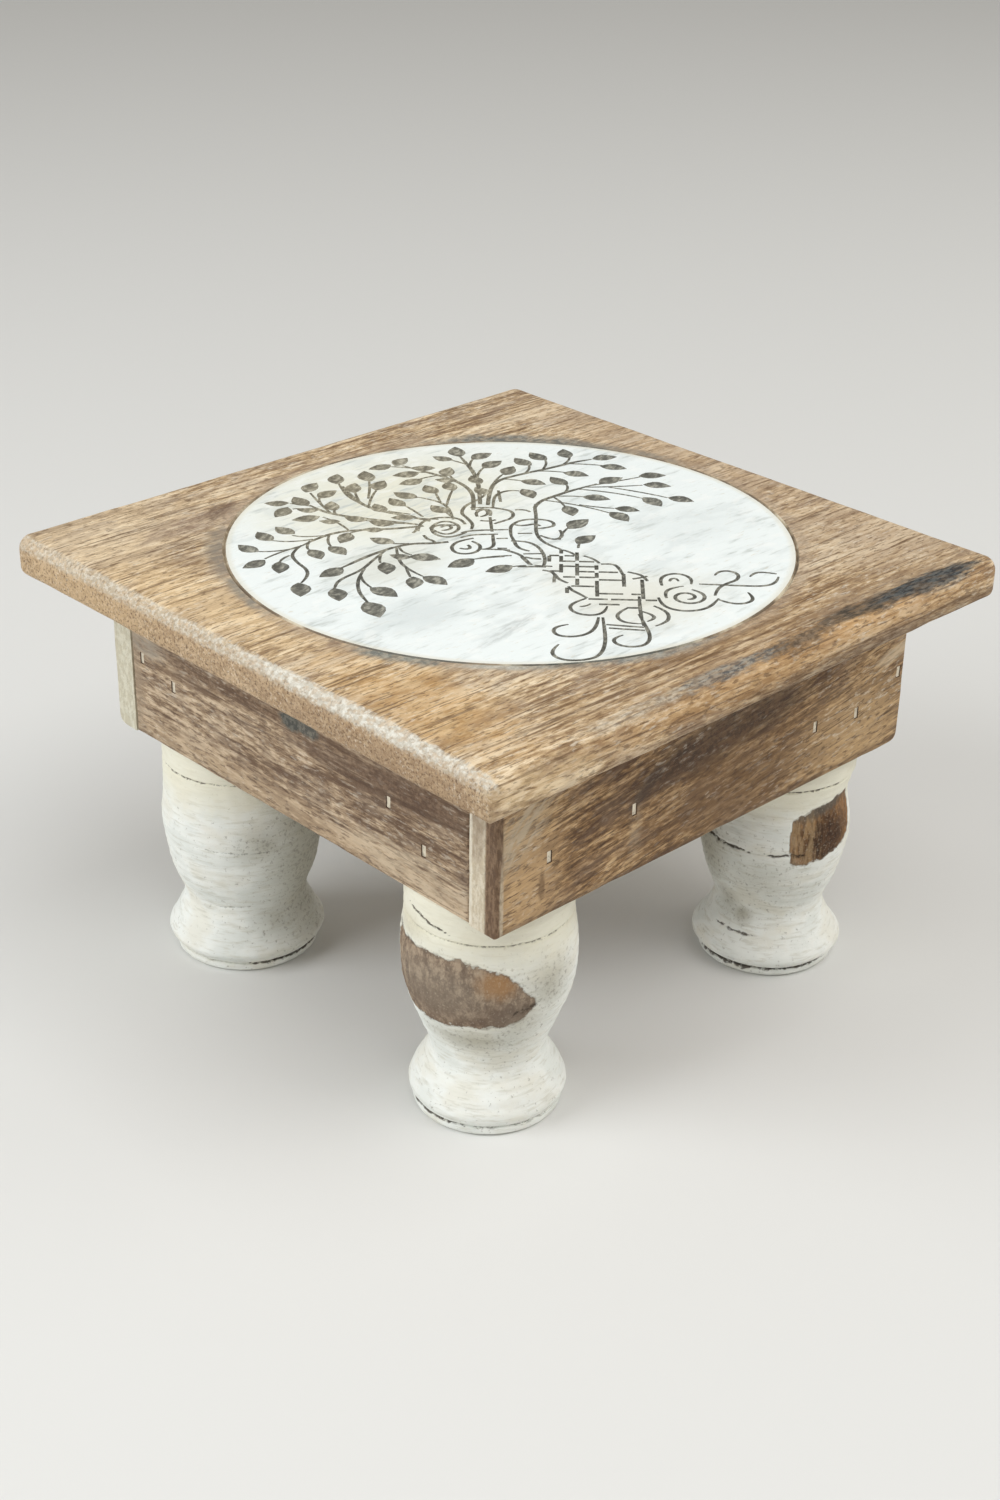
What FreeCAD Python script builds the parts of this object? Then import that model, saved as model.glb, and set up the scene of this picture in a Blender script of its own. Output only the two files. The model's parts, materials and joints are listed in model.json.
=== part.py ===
import FreeCAD, Part
import math
import os

# Small altar table: a square top on a nailed apron frame, with four turned legs whose tenons
# are glued into corner blocks. +Z is up, the origin is on the floor under the middle of the
# table, and the front is the -Y side, where the carved tree stands upright. Sizes in millimetres.

# Top board, which overhangs the apron on every side. Its front left corner is only just eased.
top_side = 152.0
top_overhang = 14.0
top_thickness = 9.0
top_corner_radius = 3.5
top_front_left_corner_radius = 0.8
top_upper_arris = 3.0
top_lower_arris = 1.6

# Ring groove round the painted roundel, laid out slightly off the middle by hand
roundel_margin = 14.0
roundel_offset_x = 2.5
roundel_offset_y = 1.0
ring_groove_width = 0.8
ring_groove_depth = 0.5

# Apron frame, fixed slightly off the middle of the top. The back board is thinner, and edges are
# eased by hand: one lower corner of the front board and the lower arris of the back board most.
base_offset_x = 0.4
base_offset_y = -1.1
apron_height = 36.0
front_board_thickness = 8.0
back_board_thickness = 6.4
side_board_thickness = 8.0
board_arris = 0.8
front_board_rounded_corner = 2.6
back_board_rounded_arris = 2.6

# Corner blocks
block_side = 32.0
block_chamfer = 3.0

# Turned legs
leg_height = 56.0
leg_inset = 19.0
foot_radius = 15.2
foot_bevel = 0.6
foot_ring_height = 2.0
foot_groove_radius = 14.5
foot_groove_height = 0.6
bulb_radius = 17.2
waist_radius = 12.9
belly_radius = 18.2
neck_radius = 16.4
neck_groove_height = 0.7
collar_radius = 17.6
collar_bevel = 0.7

# Tenon on each leg, which stops short of the top, and its blind bore in the corner block
tenon_radius = 6.0
tenon_headroom = 8.0
tenon_bevel = 0.8
tenon_clearance = 0.12
bore_end_gap = 1.5

# Brads that nail the boards to the blocks and to each other
brad_length = 15.0
brad_width = 1.2
brad_shank_height = 1.3
brad_head_height = 2.6
brad_head_depth = 1.0
brad_tip_length = 2.0
brad_sink = 0.2

# Countersunk screws that hold the top down from inside the blocks
screw_length = 25.0
screw_radius = 1.4
screw_head_radius = 2.7
screw_head_height = 1.8
screw_tip_length = 3.0
screw_cover = 2.2
screw_edge_distance = 5.0
screw_slot_width = 0.8
screw_slot_depth = 0.9
counterbore_clearance = 0.3

# Length by which a cutting tool runs past what it cuts
overrun = 2.0

# Heights of the joints between the layers
apron_bottom = leg_height
apron_top = apron_bottom + apron_height
table_height = apron_top + top_thickness

half_top = top_side / 2
half_apron = half_top - top_overhang
apron_side = 2 * half_apron
roundel_radius = half_top - roundel_margin
tenon_length = apron_height - tenon_headroom

# Corners of the frame: the side of the middle that each is on, along X and along Y
corners = {"front_left": (-1, -1), "front_right": (1, -1), "back_left": (-1, 1), "back_right": (1, 1)}

# Turn about Z that brings the front board's place to each side
side_turns = {"front": 0, "right": 90, "back": 180, "left": 270}

# Each board's thickness, and the boards that stand at its left and right ends seen from outside
board_thicknesses = {
    "front": front_board_thickness,
    "right": side_board_thickness,
    "back": back_board_thickness,
    "left": side_board_thickness,
}
end_boards = {
    "front": {"left": "left", "right": "right"},
    "right": {"left": "front", "right": "back"},
    "back": {"left": "right", "right": "left"},
    "left": {"left": "back", "right": "front"},
}

# Hand turning leaves each leg a little thicker or thinner, as shares of the drawn radii
front_left_girth_share = 1.0
front_right_girth_share = 0.97
back_left_girth_share = 1.06
back_right_girth_share = 1.01

# Hand boring sets two legs off their marks along X and Y, as shares of the leg inset
front_left_shift_shares = (-0.03, 0.126)
front_right_shift_shares = (0.147, 0.068)

# Heights of the turned outline, as shares of the leg's height
bulb_height_share = 0.083
bulb_shoulder_share = 0.152
waist_height_share = 0.259
belly_rise_share = 0.402
belly_flank_share = 0.530
belly_height_share = 0.634
belly_top_share = 0.735
neck_height_share = 0.800
collar_height_share = 0.880

# Brads as seen from outside each board: end of the board, share along the block or along the end
# board's thickness there, and share of the apron's height
long_board_shares = [
    ("left", "block", 0.18, 0.373),
    ("left", "block", 0.92, 0.415),
    ("right", "block", 0.70, 0.384),
    ("right", "block", 0.26, 0.345),
    ("right", "board", 0.28, 0.496),
]
short_board_shares = [
    ("left", "block", 0.127, 0.544),
    ("left", "block", 0.477, 0.459),
    ("right", "block", 0.73, 0.488),
    ("right", "block", 0.404, 0.305),
]

up = FreeCAD.Vector(0, 0, 1)
floor_centre = FreeCAD.Vector(0, 0, 0)


def face_from(points):
    """A flat face from a closed chain of points."""
    return Part.Face(Part.makePolygon(points + points[:1]))


def turned_to(shape, side):
    """A copy of a shape made in the front board's place, turned to its own side."""
    copy = shape.copy()
    copy.rotate(floor_centre, up, side_turns[side])
    return copy


def cut_by(solid, tools):
    """The solid without the tools that reach it."""
    near = [tool for tool in tools if tool.BoundBox.intersect(solid.BoundBox)]
    return solid.cut(Part.makeCompound(near)) if near else solid


def on_plane(edge, axis, value):
    """Whether an edge lies wholly on the plane where a coordinate has one value."""
    box = edge.BoundBox
    low, high = (getattr(box, axis + "Min"), getattr(box, axis + "Max"))
    slack = board_arris / 100
    return abs(low - value) < slack and abs(high - value) < slack


def stands_at(edge, place):
    """Whether an edge stands upright over a place."""
    return on_plane(edge, "X", place.x) and on_plane(edge, "Y", place.y)


# Table top


def table_top(screws):
    corner = FreeCAD.Vector(-half_top - base_offset_x, -half_top - base_offset_y, apron_top)
    slab = Part.makeBox(top_side, top_side, top_thickness, corner)
    upright = [e for e in slab.Edges if e.BoundBox.ZLength > top_thickness / 2]
    slab = slab.makeFillet(top_corner_radius, [e for e in upright if not stands_at(e, corner)])
    slab = slab.makeFillet(top_upper_arris, [e for e in slab.Edges if on_plane(e, "Z", table_height)])
    slab = slab.makeFillet(top_lower_arris, [e for e in slab.Edges if on_plane(e, "Z", apron_top)])
    slab = slab.makeFillet(top_front_left_corner_radius, [e for e in slab.Edges if stands_at(e, corner)])
    return cut_by(slab.cut(ring_groove()), screws)


def ring_groove():
    """A V groove round the roundel, as a turned ring."""
    flank = ring_groove_width / 2 / ring_groove_depth
    reach = flank * (ring_groove_depth + overrun)
    section = face_from(
        [
            FreeCAD.Vector(roundel_radius, 0, table_height - ring_groove_depth),
            FreeCAD.Vector(roundel_radius + reach, 0, table_height + overrun),
            FreeCAD.Vector(roundel_radius - reach, 0, table_height + overrun),
        ]
    )
    ring = section.revolve(floor_centre, up, 360)
    ring.translate(FreeCAD.Vector(roundel_offset_x - base_offset_x, roundel_offset_y - base_offset_y, 0))
    return ring


# Apron boards


def long_board(side):
    """The front or back board, which runs the full width and shows its end grain at the sides."""
    thickness = board_thicknesses[side]
    corner = FreeCAD.Vector(-half_apron, -half_apron, apron_bottom)
    board = Part.makeBox(apron_side, thickness, apron_height, corner)
    low_edges = [e for e in board.Edges if on_plane(e, "Z", apron_bottom)]
    if side == "front":
        end = [e for e in low_edges if on_plane(e, "X", half_apron)]
        board = board.makeFillet(front_board_rounded_corner, end)
    else:
        outer = [e for e in low_edges if on_plane(e, "Y", -half_apron)]
        board = board.makeFillet(back_board_rounded_arris, outer)
    eased = [e for e in board.Edges if on_plane(e, "Y", -half_apron) and not on_plane(e, "Z", apron_top)]
    if side == "back":
        eased = [e for e in eased if e.BoundBox.ZLength > board_arris]
    return board.makeFillet(board_arris, eased)


def short_board(side):
    """A side board in the front board's place, held between the two long boards."""
    ends = end_boards[side]
    left = board_thicknesses[ends["left"]] - half_apron
    right = half_apron - board_thicknesses[ends["right"]]
    corner = FreeCAD.Vector(left, -half_apron, apron_bottom)
    board = Part.makeBox(right - left, side_board_thickness, apron_height, corner)
    lower = [e for e in board.Edges if on_plane(e, "Z", apron_bottom) and on_plane(e, "Y", -half_apron)]
    return board.makeFillet(board_arris, lower)


def apron_board(side, brad_tools):
    board = long_board(side) if side in ("front", "back") else short_board(side)
    return cut_by(turned_to(board, side), brad_tools)


# Brads


def brad(sink):
    """One brad driven along +Y from the plane y = 0, its head sunk by the given depth."""
    head, shank = (brad_head_height / 2, brad_shank_height / 2)
    neck = brad_sink + brad_head_depth
    body_end = brad_length - brad_tip_length
    profile = [
        (sink, head),
        (neck, head),
        (neck, shank),
        (body_end, shank),
        (brad_length, 0),
        (body_end, -shank),
        (neck, -shank),
        (neck, -head),
        (sink, -head),
    ]
    points = [FreeCAD.Vector(-brad_width / 2, depth, height) for depth, height in profile]
    return face_from(points).extrude(FreeCAD.Vector(brad_width, 0, 0))


def brads_of(side, sink):
    """All brads of one board, in their places."""
    shares = long_board_shares if side in ("front", "back") else short_board_shares
    made = []
    for end, holds_in, along_share, height_share in shares:
        end_thickness = board_thicknesses[end_boards[side][end]]
        if holds_in == "block":
            from_end = end_thickness + along_share * block_side
        else:
            from_end = along_share * end_thickness
        x = from_end - half_apron if end == "left" else half_apron - from_end
        one = brad(sink)
        one.translate(FreeCAD.Vector(x, -half_apron, apron_bottom + height_share * apron_height))
        made.append(turned_to(one, side))
    return made


# Corner blocks


def tenon_bore(corner):
    x, y = leg_centre(corner)
    depth = tenon_length + bore_end_gap
    place = FreeCAD.Vector(x, y, apron_bottom - overrun)
    return Part.makeCylinder(tenon_radius + tenon_clearance, depth + overrun, place)


def block_outer_reach(corner):
    """How far the block's outer faces stand from the middle, along X and along Y."""
    long_side = "front" if corner.startswith("front") else "back"
    return half_apron - side_board_thickness, half_apron - board_thicknesses[long_side]


def corner_block(corner, tools):
    """A block in one corner of the frame, with its inner upright edge taken off."""
    sx, sy = corners[corner]
    outer_x, outer_y = block_outer_reach(corner)
    inner_x, inner_y = (outer_x - block_side, outer_y - block_side)
    plan = [
        (outer_x, outer_y),
        (inner_x, outer_y),
        (inner_x, inner_y + block_chamfer),
        (inner_x + block_chamfer, inner_y),
        (outer_x, inner_y),
    ]
    points = [FreeCAD.Vector(sx * x, sy * y, apron_bottom) for x, y in plan]
    block = face_from(points).extrude(FreeCAD.Vector(0, 0, apron_height))
    return cut_by(block, [tenon_bore(corner)] + tools)


# Legs


leg_shares = {
    "front_left": front_left_girth_share,
    "front_right": front_right_girth_share,
    "back_left": back_left_girth_share,
    "back_right": back_right_girth_share,
}
leg_shifts = {"front_left": front_left_shift_shares, "front_right": front_right_shift_shares}


def leg_centre(corner):
    sx, sy = corners[corner]
    shift_x, shift_y = leg_shifts.get(corner, (0, 0))
    reach = half_apron - leg_inset
    return sx * reach + shift_x * leg_inset, sy * reach + shift_y * leg_inset


def turned_leg(corner, brad_tools):
    """A leg turned from one piece: foot ring, bulb, waist, belly, neck, collar and tenon."""
    girth = leg_shares[corner]
    groove_top = foot_ring_height + foot_groove_height
    neck_height = neck_height_share * leg_height

    def at(radius, height):
        return FreeCAD.Vector(radius, 0, height)

    def turned(radius, height):
        return at(radius * girth, height)

    bulb_start = turned((foot_radius + bulb_radius) / 2, groove_top)
    neck = turned(neck_radius, neck_height)
    collar_start = turned((neck_radius + collar_radius) / 2, neck_height + neck_groove_height)
    collar_crown = turned(collar_radius, collar_height_share * leg_height)
    collar_end = turned(collar_radius, leg_height - collar_bevel)
    flowing = [
        bulb_start,
        turned(bulb_radius, bulb_height_share * leg_height),
        turned((bulb_radius + waist_radius) / 2, bulb_shoulder_share * leg_height),
        turned(waist_radius, waist_height_share * leg_height),
        turned((waist_radius + belly_radius) / 2, belly_rise_share * leg_height),
        turned(belly_radius - (belly_radius - neck_radius) / 2, belly_flank_share * leg_height),
        turned(belly_radius, belly_height_share * leg_height),
        turned((belly_radius * 2 + neck_radius) / 3, belly_top_share * leg_height),
        neck,
    ]
    flank = Part.BSplineCurve()
    flank.interpolate(flowing)
    collar = Part.BSplineCurve()
    collar.interpolate([collar_start, collar_crown, collar_end])
    tenon_top = leg_height + tenon_length
    below = [
        at(0, 0),
        turned(foot_radius - foot_bevel, 0),
        turned(foot_radius, foot_bevel),
        turned(foot_radius, foot_ring_height),
        turned(foot_groove_radius, foot_ring_height + foot_groove_height / 2),
        bulb_start,
    ]
    above = [
        collar_end,
        turned(collar_radius - collar_bevel, leg_height),
        at(tenon_radius, leg_height),
        at(tenon_radius, tenon_top - tenon_bevel),
        at(tenon_radius - tenon_bevel, tenon_top),
        at(0, tenon_top),
        at(0, 0),
    ]
    outline = Part.Wire(
        Part.makePolygon(below).Edges
        + [flank.toShape(), Part.makeLine(neck, collar_start), collar.toShape()]
        + Part.makePolygon(above).Edges
    )
    leg = Part.Face(outline).revolve(floor_centre, up, 360)
    x, y = leg_centre(corner)
    leg.translate(FreeCAD.Vector(x, y, 0))
    return cut_by(leg, brad_tools)


# Screws


def screw_place(corner):
    """Where a screw stands in its block, clear of the tenon and the leg's collar."""
    sx, sy = corners[corner]
    outer_x, outer_y = block_outer_reach(corner)
    inward = block_side - screw_edge_distance
    tip_height = table_height - screw_cover
    return FreeCAD.Vector(sx * (outer_x - inward), sy * (outer_y - inward), tip_height - screw_length)


def screw_body(corner):
    """A countersunk screw without its slot, pointing up into the top."""
    outline = [
        (0, 0),
        (screw_head_radius, 0),
        (screw_radius, screw_head_height),
        (screw_radius, screw_length - screw_tip_length),
        (0, screw_length),
    ]
    body = face_from([FreeCAD.Vector(r, 0, z) for r, z in outline]).revolve(floor_centre, up, 360)
    body.translate(screw_place(corner))
    return body


def screw(corner):
    place = screw_place(corner)
    reach = screw_head_radius + overrun
    slot = Part.makeBox(
        2 * reach,
        screw_slot_width,
        screw_slot_depth + overrun,
        FreeCAD.Vector(place.x - reach, place.y - screw_slot_width / 2, place.z - overrun),
    )
    return screw_body(corner).cut(slot)


def screw_hole(corner):
    """The hole that a screw fills, with a counterbore that opens below the block."""
    hole = screw_body(corner)
    place = screw_place(corner)
    mouth = FreeCAD.Vector(place.x, place.y, apron_bottom - overrun)
    counterbore = Part.makeCylinder(screw_head_radius + counterbore_clearance, place.z - mouth.z, mouth)
    return hole.fuse(counterbore)


# Build and export


def build():
    """Every node, built about the middle of the base."""
    brad_tools = [tool for side in side_turns for tool in brads_of(side, -overrun)]
    screw_tools = [screw_hole(corner) for corner in corners]
    nodes = {"table_top": table_top(screw_tools)}
    for side in side_turns:
        nodes[side + "_apron_board"] = apron_board(side, brad_tools)
        nodes[side + "_board_brads"] = Part.makeCompound(brads_of(side, brad_sink))
    for corner in corners:
        nodes[corner + "_corner_block"] = corner_block(corner, brad_tools + screw_tools)
        nodes[corner + "_leg"] = turned_leg(corner, brad_tools)
        nodes[corner + "_top_screw"] = screw(corner)
    return nodes


os.makedirs("parts", exist_ok=True)
to_top_middle = FreeCAD.Vector(base_offset_x, base_offset_y, 0)
for name, shape in build().items():
    shape.translate(to_top_middle)
    shape.exportStep("parts/" + name + ".step")
    print(name, len(shape.Solids), "solids", round(shape.Volume, 1), "mm3", shape.isValid())
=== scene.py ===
import bmesh
import bpy
import math
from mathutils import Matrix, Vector, noise
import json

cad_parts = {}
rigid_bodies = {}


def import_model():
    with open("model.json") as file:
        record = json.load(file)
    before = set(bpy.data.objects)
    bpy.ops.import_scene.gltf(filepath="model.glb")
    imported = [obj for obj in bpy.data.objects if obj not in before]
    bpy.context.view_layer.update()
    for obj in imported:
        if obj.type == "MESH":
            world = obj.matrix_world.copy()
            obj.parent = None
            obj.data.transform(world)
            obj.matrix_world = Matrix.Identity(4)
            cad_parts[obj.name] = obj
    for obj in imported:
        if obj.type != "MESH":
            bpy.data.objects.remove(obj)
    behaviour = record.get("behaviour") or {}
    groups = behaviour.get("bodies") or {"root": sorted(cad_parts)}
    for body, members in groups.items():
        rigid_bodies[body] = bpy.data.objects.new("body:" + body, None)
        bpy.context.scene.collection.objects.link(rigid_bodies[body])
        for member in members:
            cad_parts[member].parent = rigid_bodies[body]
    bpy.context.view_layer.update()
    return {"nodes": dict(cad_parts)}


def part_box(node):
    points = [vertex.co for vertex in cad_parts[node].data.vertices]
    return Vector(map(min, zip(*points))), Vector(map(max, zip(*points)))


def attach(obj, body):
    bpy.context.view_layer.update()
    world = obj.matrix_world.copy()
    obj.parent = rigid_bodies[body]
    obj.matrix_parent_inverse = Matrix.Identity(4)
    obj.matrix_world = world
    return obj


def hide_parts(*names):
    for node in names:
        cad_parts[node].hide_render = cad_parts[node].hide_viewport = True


# Altar table, +Z up, front towards -Y. Camera and studio are in metres, and all other lengths in mm.
mm = 0.001

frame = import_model()
nodes = frame["nodes"]
scene = bpy.context.scene
print("frame loaded", len(nodes), "nodes")


# Camera at the photo's angle

camera = {
    "place": (-0.31198, -0.32358, 0.28962),
    "turn": (62.01, -0.774, -43.471),  # degrees
    "lens": 53.81,
    "sensor": 36.0,
}


def makeCamera():
    data = bpy.data.cameras.new("camera")
    data.lens = camera["lens"]
    data.sensor_width = camera["sensor"]
    made = bpy.data.objects.new("camera", data)
    made.location = camera["place"]
    made.rotation_euler = [math.radians(angle) for angle in camera["turn"]]
    scene.collection.objects.link(made)
    scene.camera = made


# Node helpers


def tint(red, green, blue):
    # colours are written as they look on a screen, from 0 to 255
    def linear(level):
        share = level / 255
        return share / 12.92 if share <= 0.04045 else ((share + 0.055) / 1.055) ** 2.4

    return (linear(red), linear(green), linear(blue), 1.0)


def put(tree, socket, value):
    if isinstance(value, bpy.types.NodeSocket):
        tree.links.new(value, socket)
    else:
        socket.default_value = value


def addNode(tree, kind, values=None, **settings):
    made = tree.nodes.new("ShaderNode" + kind)
    for name, value in settings.items():
        setattr(made, name, value)
    for name, value in (values or {}).items():
        put(tree, made.inputs[name], value)
    return made


def calc(tree, operation, first, second):
    return addNode(tree, "Math", {0: first, 1: second}, operation=operation).outputs[0]


def times(tree, first, second):
    return calc(tree, "MULTIPLY", first, second)


def plus(tree, first, second):
    return calc(tree, "ADD", first, second)


def lengthOf(tree, vector):
    return addNode(tree, "VectorMath", {0: vector}, operation="LENGTH").outputs["Value"]


def mixColours(tree, share, first, second):
    return addNode(tree, "Mix", {0: share, 6: first, 7: second}, data_type="RGBA").outputs[2]


def levels(tree, value, low, high, toLow=0.0, toHigh=1.0):
    values = {"Value": value, "From Min": low, "From Max": high, "To Min": toLow, "To Max": toHigh}
    return addNode(tree, "MapRange", values, interpolation_type="SMOOTHSTEP").outputs[0]


def layer(tree, under, value, low, high, share, colour):
    # lays a colour where the value goes from low to high, up to a share of full strength
    return mixColours(tree, levels(tree, value, low, high, 0.0, share), under, colour)


def shades(tree, value, stops):
    made = addNode(tree, "ValToRGB", {"Fac": value})
    steps = made.color_ramp.elements
    while len(steps) < len(stops):
        steps.new(0.5)
    for step, (place, colour) in zip(steps, stops):
        step.position = place
        step.color = colour
    return made.outputs["Color"]


def placed(tree, centre=(0, 0, 0), size=(1, 1, 1), turn=(0, 0, 0)):
    # object coordinates about a centre, in units of a size, both in mm
    coords = addNode(tree, "TexCoord").outputs["Object"]
    made = addNode(tree, "Mapping", {"Vector": coords}, vector_type="TEXTURE")
    made.inputs["Location"].default_value = [value * mm for value in centre]
    made.inputs["Scale"].default_value = [value * mm for value in size]
    made.inputs["Rotation"].default_value = [math.radians(angle) for angle in turn]
    return made.outputs[0]


def grain(tree, size, centre=(0, 0, 0), turn=(0, 0, 0), detail=3.0, rough=0.55, distortion=0.0):
    # noise whose features are about one size long, in mm
    where = placed(tree, centre, size, turn)
    values = {"Vector": where, "Scale": 1.0, "Detail": detail, "Roughness": rough, "Distortion": distortion}
    return addNode(tree, "TexNoise", values).outputs["Fac"]


# What a mark has unless it says otherwise. Sizes are in mm, and ragged and soft are shares of its reach.
plainMark = {
    "turn": (0, 0, 0),
    "square": False,
    "ragged": 0.5,
    "grit": (3, 3, 3),
    "soft": 0.4,
    "strength": 1.0,
    "broken": 0.0,
    "rim": 0.0,
    "other": None,
    "spots": (1.2, 1.2, 1.2),
    "over": False,
}


def softZone(at, reach, **rest):
    # a soft-edged space about a place, as far as its reach on each axis
    return {**plainMark, "at": at, "reach": reach, **rest}


def mark(at, reach, colour, other=None, **rest):
    # a zone that takes a colour, with another colour in spots if one is given
    return {**softZone(at, reach, **rest), "colour": tint(*colour), "other": other and tint(*other)}


def overMark(*values, **rest):
    # a mark that also covers the wood's lines and pores
    return mark(*values, over=True, **rest)


def within(tree, zone):
    # from 0 to 1: how far inside a round or square-cornered zone a point lies, with a ragged edge
    turn = zone["turn"]
    where = placed(tree, zone["at"], zone["reach"], turn)
    if zone["square"]:
        sizes = addNode(tree, "VectorMath", {0: where}, operation="ABSOLUTE").outputs[0]
        parts = addNode(tree, "SeparateXYZ", {0: sizes}).outputs
        distance = calc(tree, "MAXIMUM", calc(tree, "MAXIMUM", parts[0], parts[1]), parts[2])
    else:
        distance = lengthOf(tree, where)
    rough = grain(tree, zone["grit"], turn=turn, detail=4.0, rough=0.65)
    wobble = times(tree, plus(tree, rough, -0.5), zone["ragged"] * 2)
    soft = zone["soft"]
    share = levels(tree, plus(tree, distance, wobble), 1 + soft, 1 - soft, 0.0, zone["strength"])
    if zone["broken"]:
        # streaks in which what lies under the mark shows through
        gaps = grain(tree, zone["grit"], centre=(11, 5, 3), turn=turn, detail=4.0, rough=0.6)
        share = times(tree, share, levels(tree, gaps, 0.42, 0.56, 1 - zone["broken"], 1.0))
    if zone["rim"]:
        share = times(tree, share, rimShare(tree, zone["rim"]))
    return share


def markColour(tree, zone):
    if not zone["other"]:
        return zone["colour"]
    spots = grain(tree, zone["spots"], centre=(2, 19, 8), detail=4.0, rough=0.65)
    return mixColours(tree, levels(tree, spots, 0.44, 0.58), zone["colour"], zone["other"])


def addMarks(tree, colour, marks, over=False):
    for zone in marks:
        if zone["over"] == over:
            colour = mixColours(tree, within(tree, zone), colour, markColour(tree, zone))
    return colour


def newMaterial(name, roughness, specular=0.35):
    made = bpy.data.materials.new(name)
    made.use_nodes = True
    tree = made.node_tree
    shader = tree.nodes["Principled BSDF"]
    shader.inputs["Roughness"].default_value = roughness
    shader.inputs["Specular IOR Level"].default_value = specular
    return made, tree, shader


def giveColour(tree, shader, colour):
    put(tree, shader.inputs["Base Color"], colour)


def giveBump(tree, shader, height, depth, strength):
    # bump from a height of 0 to 1, as deep as depth in mm
    values = {"Height": height, "Distance": depth * mm, "Strength": strength}
    put(tree, shader.inputs["Normal"], addNode(tree, "Bump", values).outputs[0])


# Wood: grain runs along local X, and turn lays it along a board

plainWood = {
    "turn": (0, 0, 0),
    "deep": tint(138, 110, 80),
    "middle": tint(201, 174, 137),
    "pale": tint(240, 220, 188),
    "pore": tint(104, 78, 52),
    "wash": tint(242, 233, 216),
    "dust": tint(166, 148, 130),
    "poreShare": 0.6,
    "lineShare": 0.7,
    "washShare": 0.45,
    "dustShare": 0.4,
    "roughness": 0.62,
}

# The grain's layers, each with its size in mm along and across the grain
woodGrain = {
    "tone": {"size": (40, 8, 8), "detail": 2.0},
    "streak": {"size": (13, 1.5, 1.5), "detail": 4.0, "distortion": 0.5},
    "fibre": {"size": (3.4, 0.8, 0.8), "detail": 5.0, "rough": 0.7},
    "dust": {"size": (12, 5, 5), "centre": (8, 21, 4), "detail": 4.0, "rough": 0.6},
    "line": {"size": (22, 0.7, 0.7), "centre": (13, 2, 11), "rough": 0.5},
    "pores": {"size": (2.6, 0.6, 0.6), "centre": (31, 7, 5)},
    "wash": {"size": (2.4, 0.7, 0.7), "centre": (3, 17, 9), "detail": 4.0},
    "washPatches": {"size": (30, 9, 9), "centre": (9, 3, 2)},
}


def woodLook(name, look, marks=()):
    look = {**plainWood, **look}
    made, tree, shader = newMaterial(name, look["roughness"])
    layers = {kind: grain(tree, turn=look["turn"], **values) for kind, values in woodGrain.items()}
    mixed = plus(tree, times(tree, layers["tone"], 0.25), times(tree, layers["streak"], 0.35))
    mixed = plus(tree, mixed, times(tree, layers["fibre"], 0.4))
    colour = shades(tree, mixed, [(0.435, look["deep"]), (0.5, look["middle"]), (0.565, look["pale"])])
    colour = layer(tree, colour, layers["dust"], 0.46, 0.62, look["dustShare"], look["dust"])
    colour = addMarks(tree, colour, marks)
    colour = layer(tree, colour, layers["line"], 0.42, 0.34, look["lineShare"], look["pore"])
    pores = levels(tree, layers["pores"], 0.45, 0.36, 0.0, look["poreShare"])
    colour = mixColours(tree, pores, colour, look["pore"])
    caught = levels(tree, layers["wash"], 0.54, 0.7)
    where = levels(tree, layers["washPatches"], 0.4, 0.62, 0.2, 1.0)
    wash = times(tree, times(tree, caught, where), look["washShare"])
    colour = mixColours(tree, wash, colour, look["wash"])
    giveColour(tree, shader, addMarks(tree, colour, marks, True))
    height = calc(tree, "SUBTRACT", times(tree, layers["fibre"], 0.6), times(tree, pores, 0.5))
    giveBump(tree, shader, height, 0.25, 0.8)
    return made


# Table top: a slab with a ring groove, a painted roundel and a carved tree

slab = {
    # radii in mm of the upright corners, seen from above, from the front left one round
    "corners": [((-1, -1), 0.8), ((1, -1), 3.5), ((1, 1), 3.5), ((-1, 1), 3.5)],
    "cornerSteps": 6,
    "sideSteps": 4,
    "cellLength": 6.0,
    "mergeLength": 0.03,
    "upperArris": 3.0,
    "upperSteps": 6,
    "lowerArris": 1.6,
    "lowerSteps": 4,
    "wear": {"band": 5.0, "depth": 0.35, "size": 7.0},
    "surface": 101.0,
    "roundelCentre": (2.5, 1.0),
    "roundelRadius": 62.0,
    "paintReach": 0.2,
    "ringWidth": 0.8,
    "ringDepth": 0.5,
    "ringSteps": 160,
}

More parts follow.
